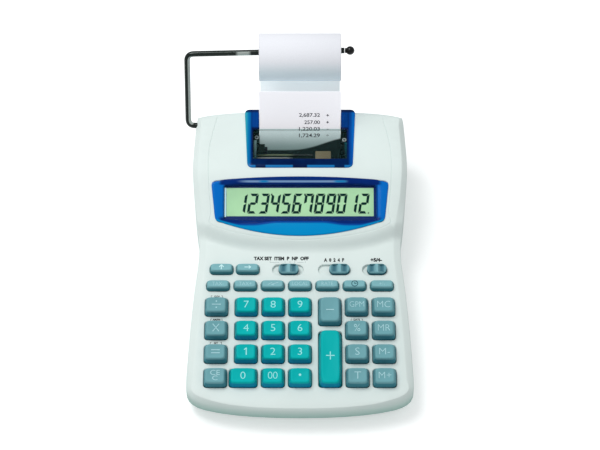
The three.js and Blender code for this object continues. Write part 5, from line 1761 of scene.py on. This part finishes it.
def build_mechanism():
    """What shows through the printer's window."""
    for node, finish, bevel in [
        ("printer_frame", FRAME_BLACK, 0.25), ("feed_roller", RUBBER, 0.0), ("print_head", TAN, 0.35),
        ("carriage_shaft", STEEL, 0.0), ("ink_roller", INK_FOAM, 0.2), ("circuit_board", BOARD, 0.0),
        ("key_mat", SILICONE, 0.2), ("lower_case", BASE, 0.0), ("battery_door", BASE, 0.3),
        ("front_foot", RUBBER, 0.4), ("rear_foot", RUBBER, 0.4), ("dc_socket", BLACK, 0.3),
    ]:
        paint(node, finish, bevel)
    slot = frame_slot("printer_frame")
    make("guide_rail", block(*GUIDE_RAIL), BRASS, "case")
    make("guide_strip", block(*GUIDE_STRIP), STEEL, "case")
    make("rail_bed", block(*RAIL_BED), FRAME_BLACK, "case")
    make("roller_clip", block(*ROLLER_CLIP), FRAME_BLACK, "case")
    wall_slot = frame_slot("tear_window")
    # The window's side walls: the left one painted lit, the right one painted in shade
    make("window_side_left", block(*WINDOW_SIDE_LEFT), LIT_WALL, "cover")
    make("window_side_right", block(*WINDOW_SIDE_RIGHT), SHADED_WALL, "cover")
    for name, shelf, screw in [
        ("left", SCREW_SHELF_LEFT, SCREW_LEFT), ("right", SCREW_SHELF_RIGHT, SCREW_RIGHT),
    ]:
        make("screw_shelf_" + name, block(*shelf), FRAME_BLACK, "case")
        vertices, faces = annulus(*screw, SCREW_RADIUS, SCREW_RADIUS / 2)
        ring = [(x, y, SCREW_HIGH if z > 0.5 else SCREW_LOW) for x, y, z in vertices]
        make("screw_" + name, (ring, faces), SCREW, "case")


# Stage
def seen_directly(tree):
    """1 for what the camera sees, also through clear parts."""
    camera_ray = add(tree, "ShaderNodeLightPath", "Is Camera Ray")
    return camera_ray.maximum(add(tree, "ShaderNodeLightPath", "Is Transmission Ray"))


def build_stage():
    corners = [(-3, -3, 0), (3, -3, 0), (3, 3, 0), (-3, 3, 0)]
    mesh = bpy.data.meshes.new("floor")
    mesh.from_pydata(corners, [], [(0, 1, 2, 3)])
    finish = Finish("floor_white")
    finish.set({"Base Color": (0.83, 0.84, 0.84, 1), "Roughness": 0.9, "Specular IOR Level": 0})
    tree = finish.tree
    glow = {"Color": (1, 1, 1, 1), "Strength": seen_directly(tree) * 0.4}
    glowing = add(tree, "ShaderNodeEmission", "Emission", glow)
    both = {0: Value(tree, finish.shader.outputs["BSDF"]), 1: glowing}
    lit = add(tree, "ShaderNodeAddShader", "Shader", both)
    set_inputs(tree, tree.nodes["Material Output"], {"Surface": lit})
    mesh.materials.append(finish.material)
    new_object("floor", mesh)

    world = bpy.data.worlds.new("studio")
    bpy.context.scene.world = world
    world.use_nodes = True
    tree = world.node_tree
    strength = add(tree, "ShaderNodeMix", 0, {0: seen_directly(tree), 2: 0.55, 3: 1}, data_type="FLOAT")
    dimmed = 1 - add(tree, "ShaderNodeLightPath", "Is Glossy Ray") * 0.6
    light_inputs = {"Color": (0.97, 0.99, 1.0, 1), "Strength": strength * dimmed}
    set_inputs(tree, tree.nodes["Background"], light_inputs)

    light = bpy.data.lights.new("soft_main", "AREA")
    light.shape = "RECTANGLE"
    light.size, light.size_y = LAMP_SIZE
    light.energy = LAMP_POWER
    holder = new_object("soft_main", light)
    holder.location = LAMP_PLACE
    direction = Vector(LAMP_TARGET) - Vector(LAMP_PLACE)
    holder.rotation_euler = direction.to_track_quat("-Z", "Y").to_euler()


def build_camera():
    camera = bpy.data.cameras.new("camera")
    camera.sensor_width = 36
    camera.lens = CAMERA_LENS
    camera.clip_start, camera.clip_end = 0.05, 20
    holder = new_object("camera", camera)
    back = Vector((0, -math.cos(CAMERA_ELEVATION), math.sin(CAMERA_ELEVATION)))
    holder.location = place(*(Vector(CAMERA_AIM) + back * CAMERA_DISTANCE))
    holder.rotation_euler = (math.pi / 2 - CAMERA_PITCH, 0, 0)
    bpy.context.scene.camera = holder


build_upper_case()
caps = build_keys()
build_legends(caps)
build_deck_marks(caps)
build_switches()
build_display()
build_cover()
build_mechanism()
build_tape()
build_roll()
build_arm()
build_stage()
build_camera()
bpy.context.scene.view_settings.view_transform = "Standard"
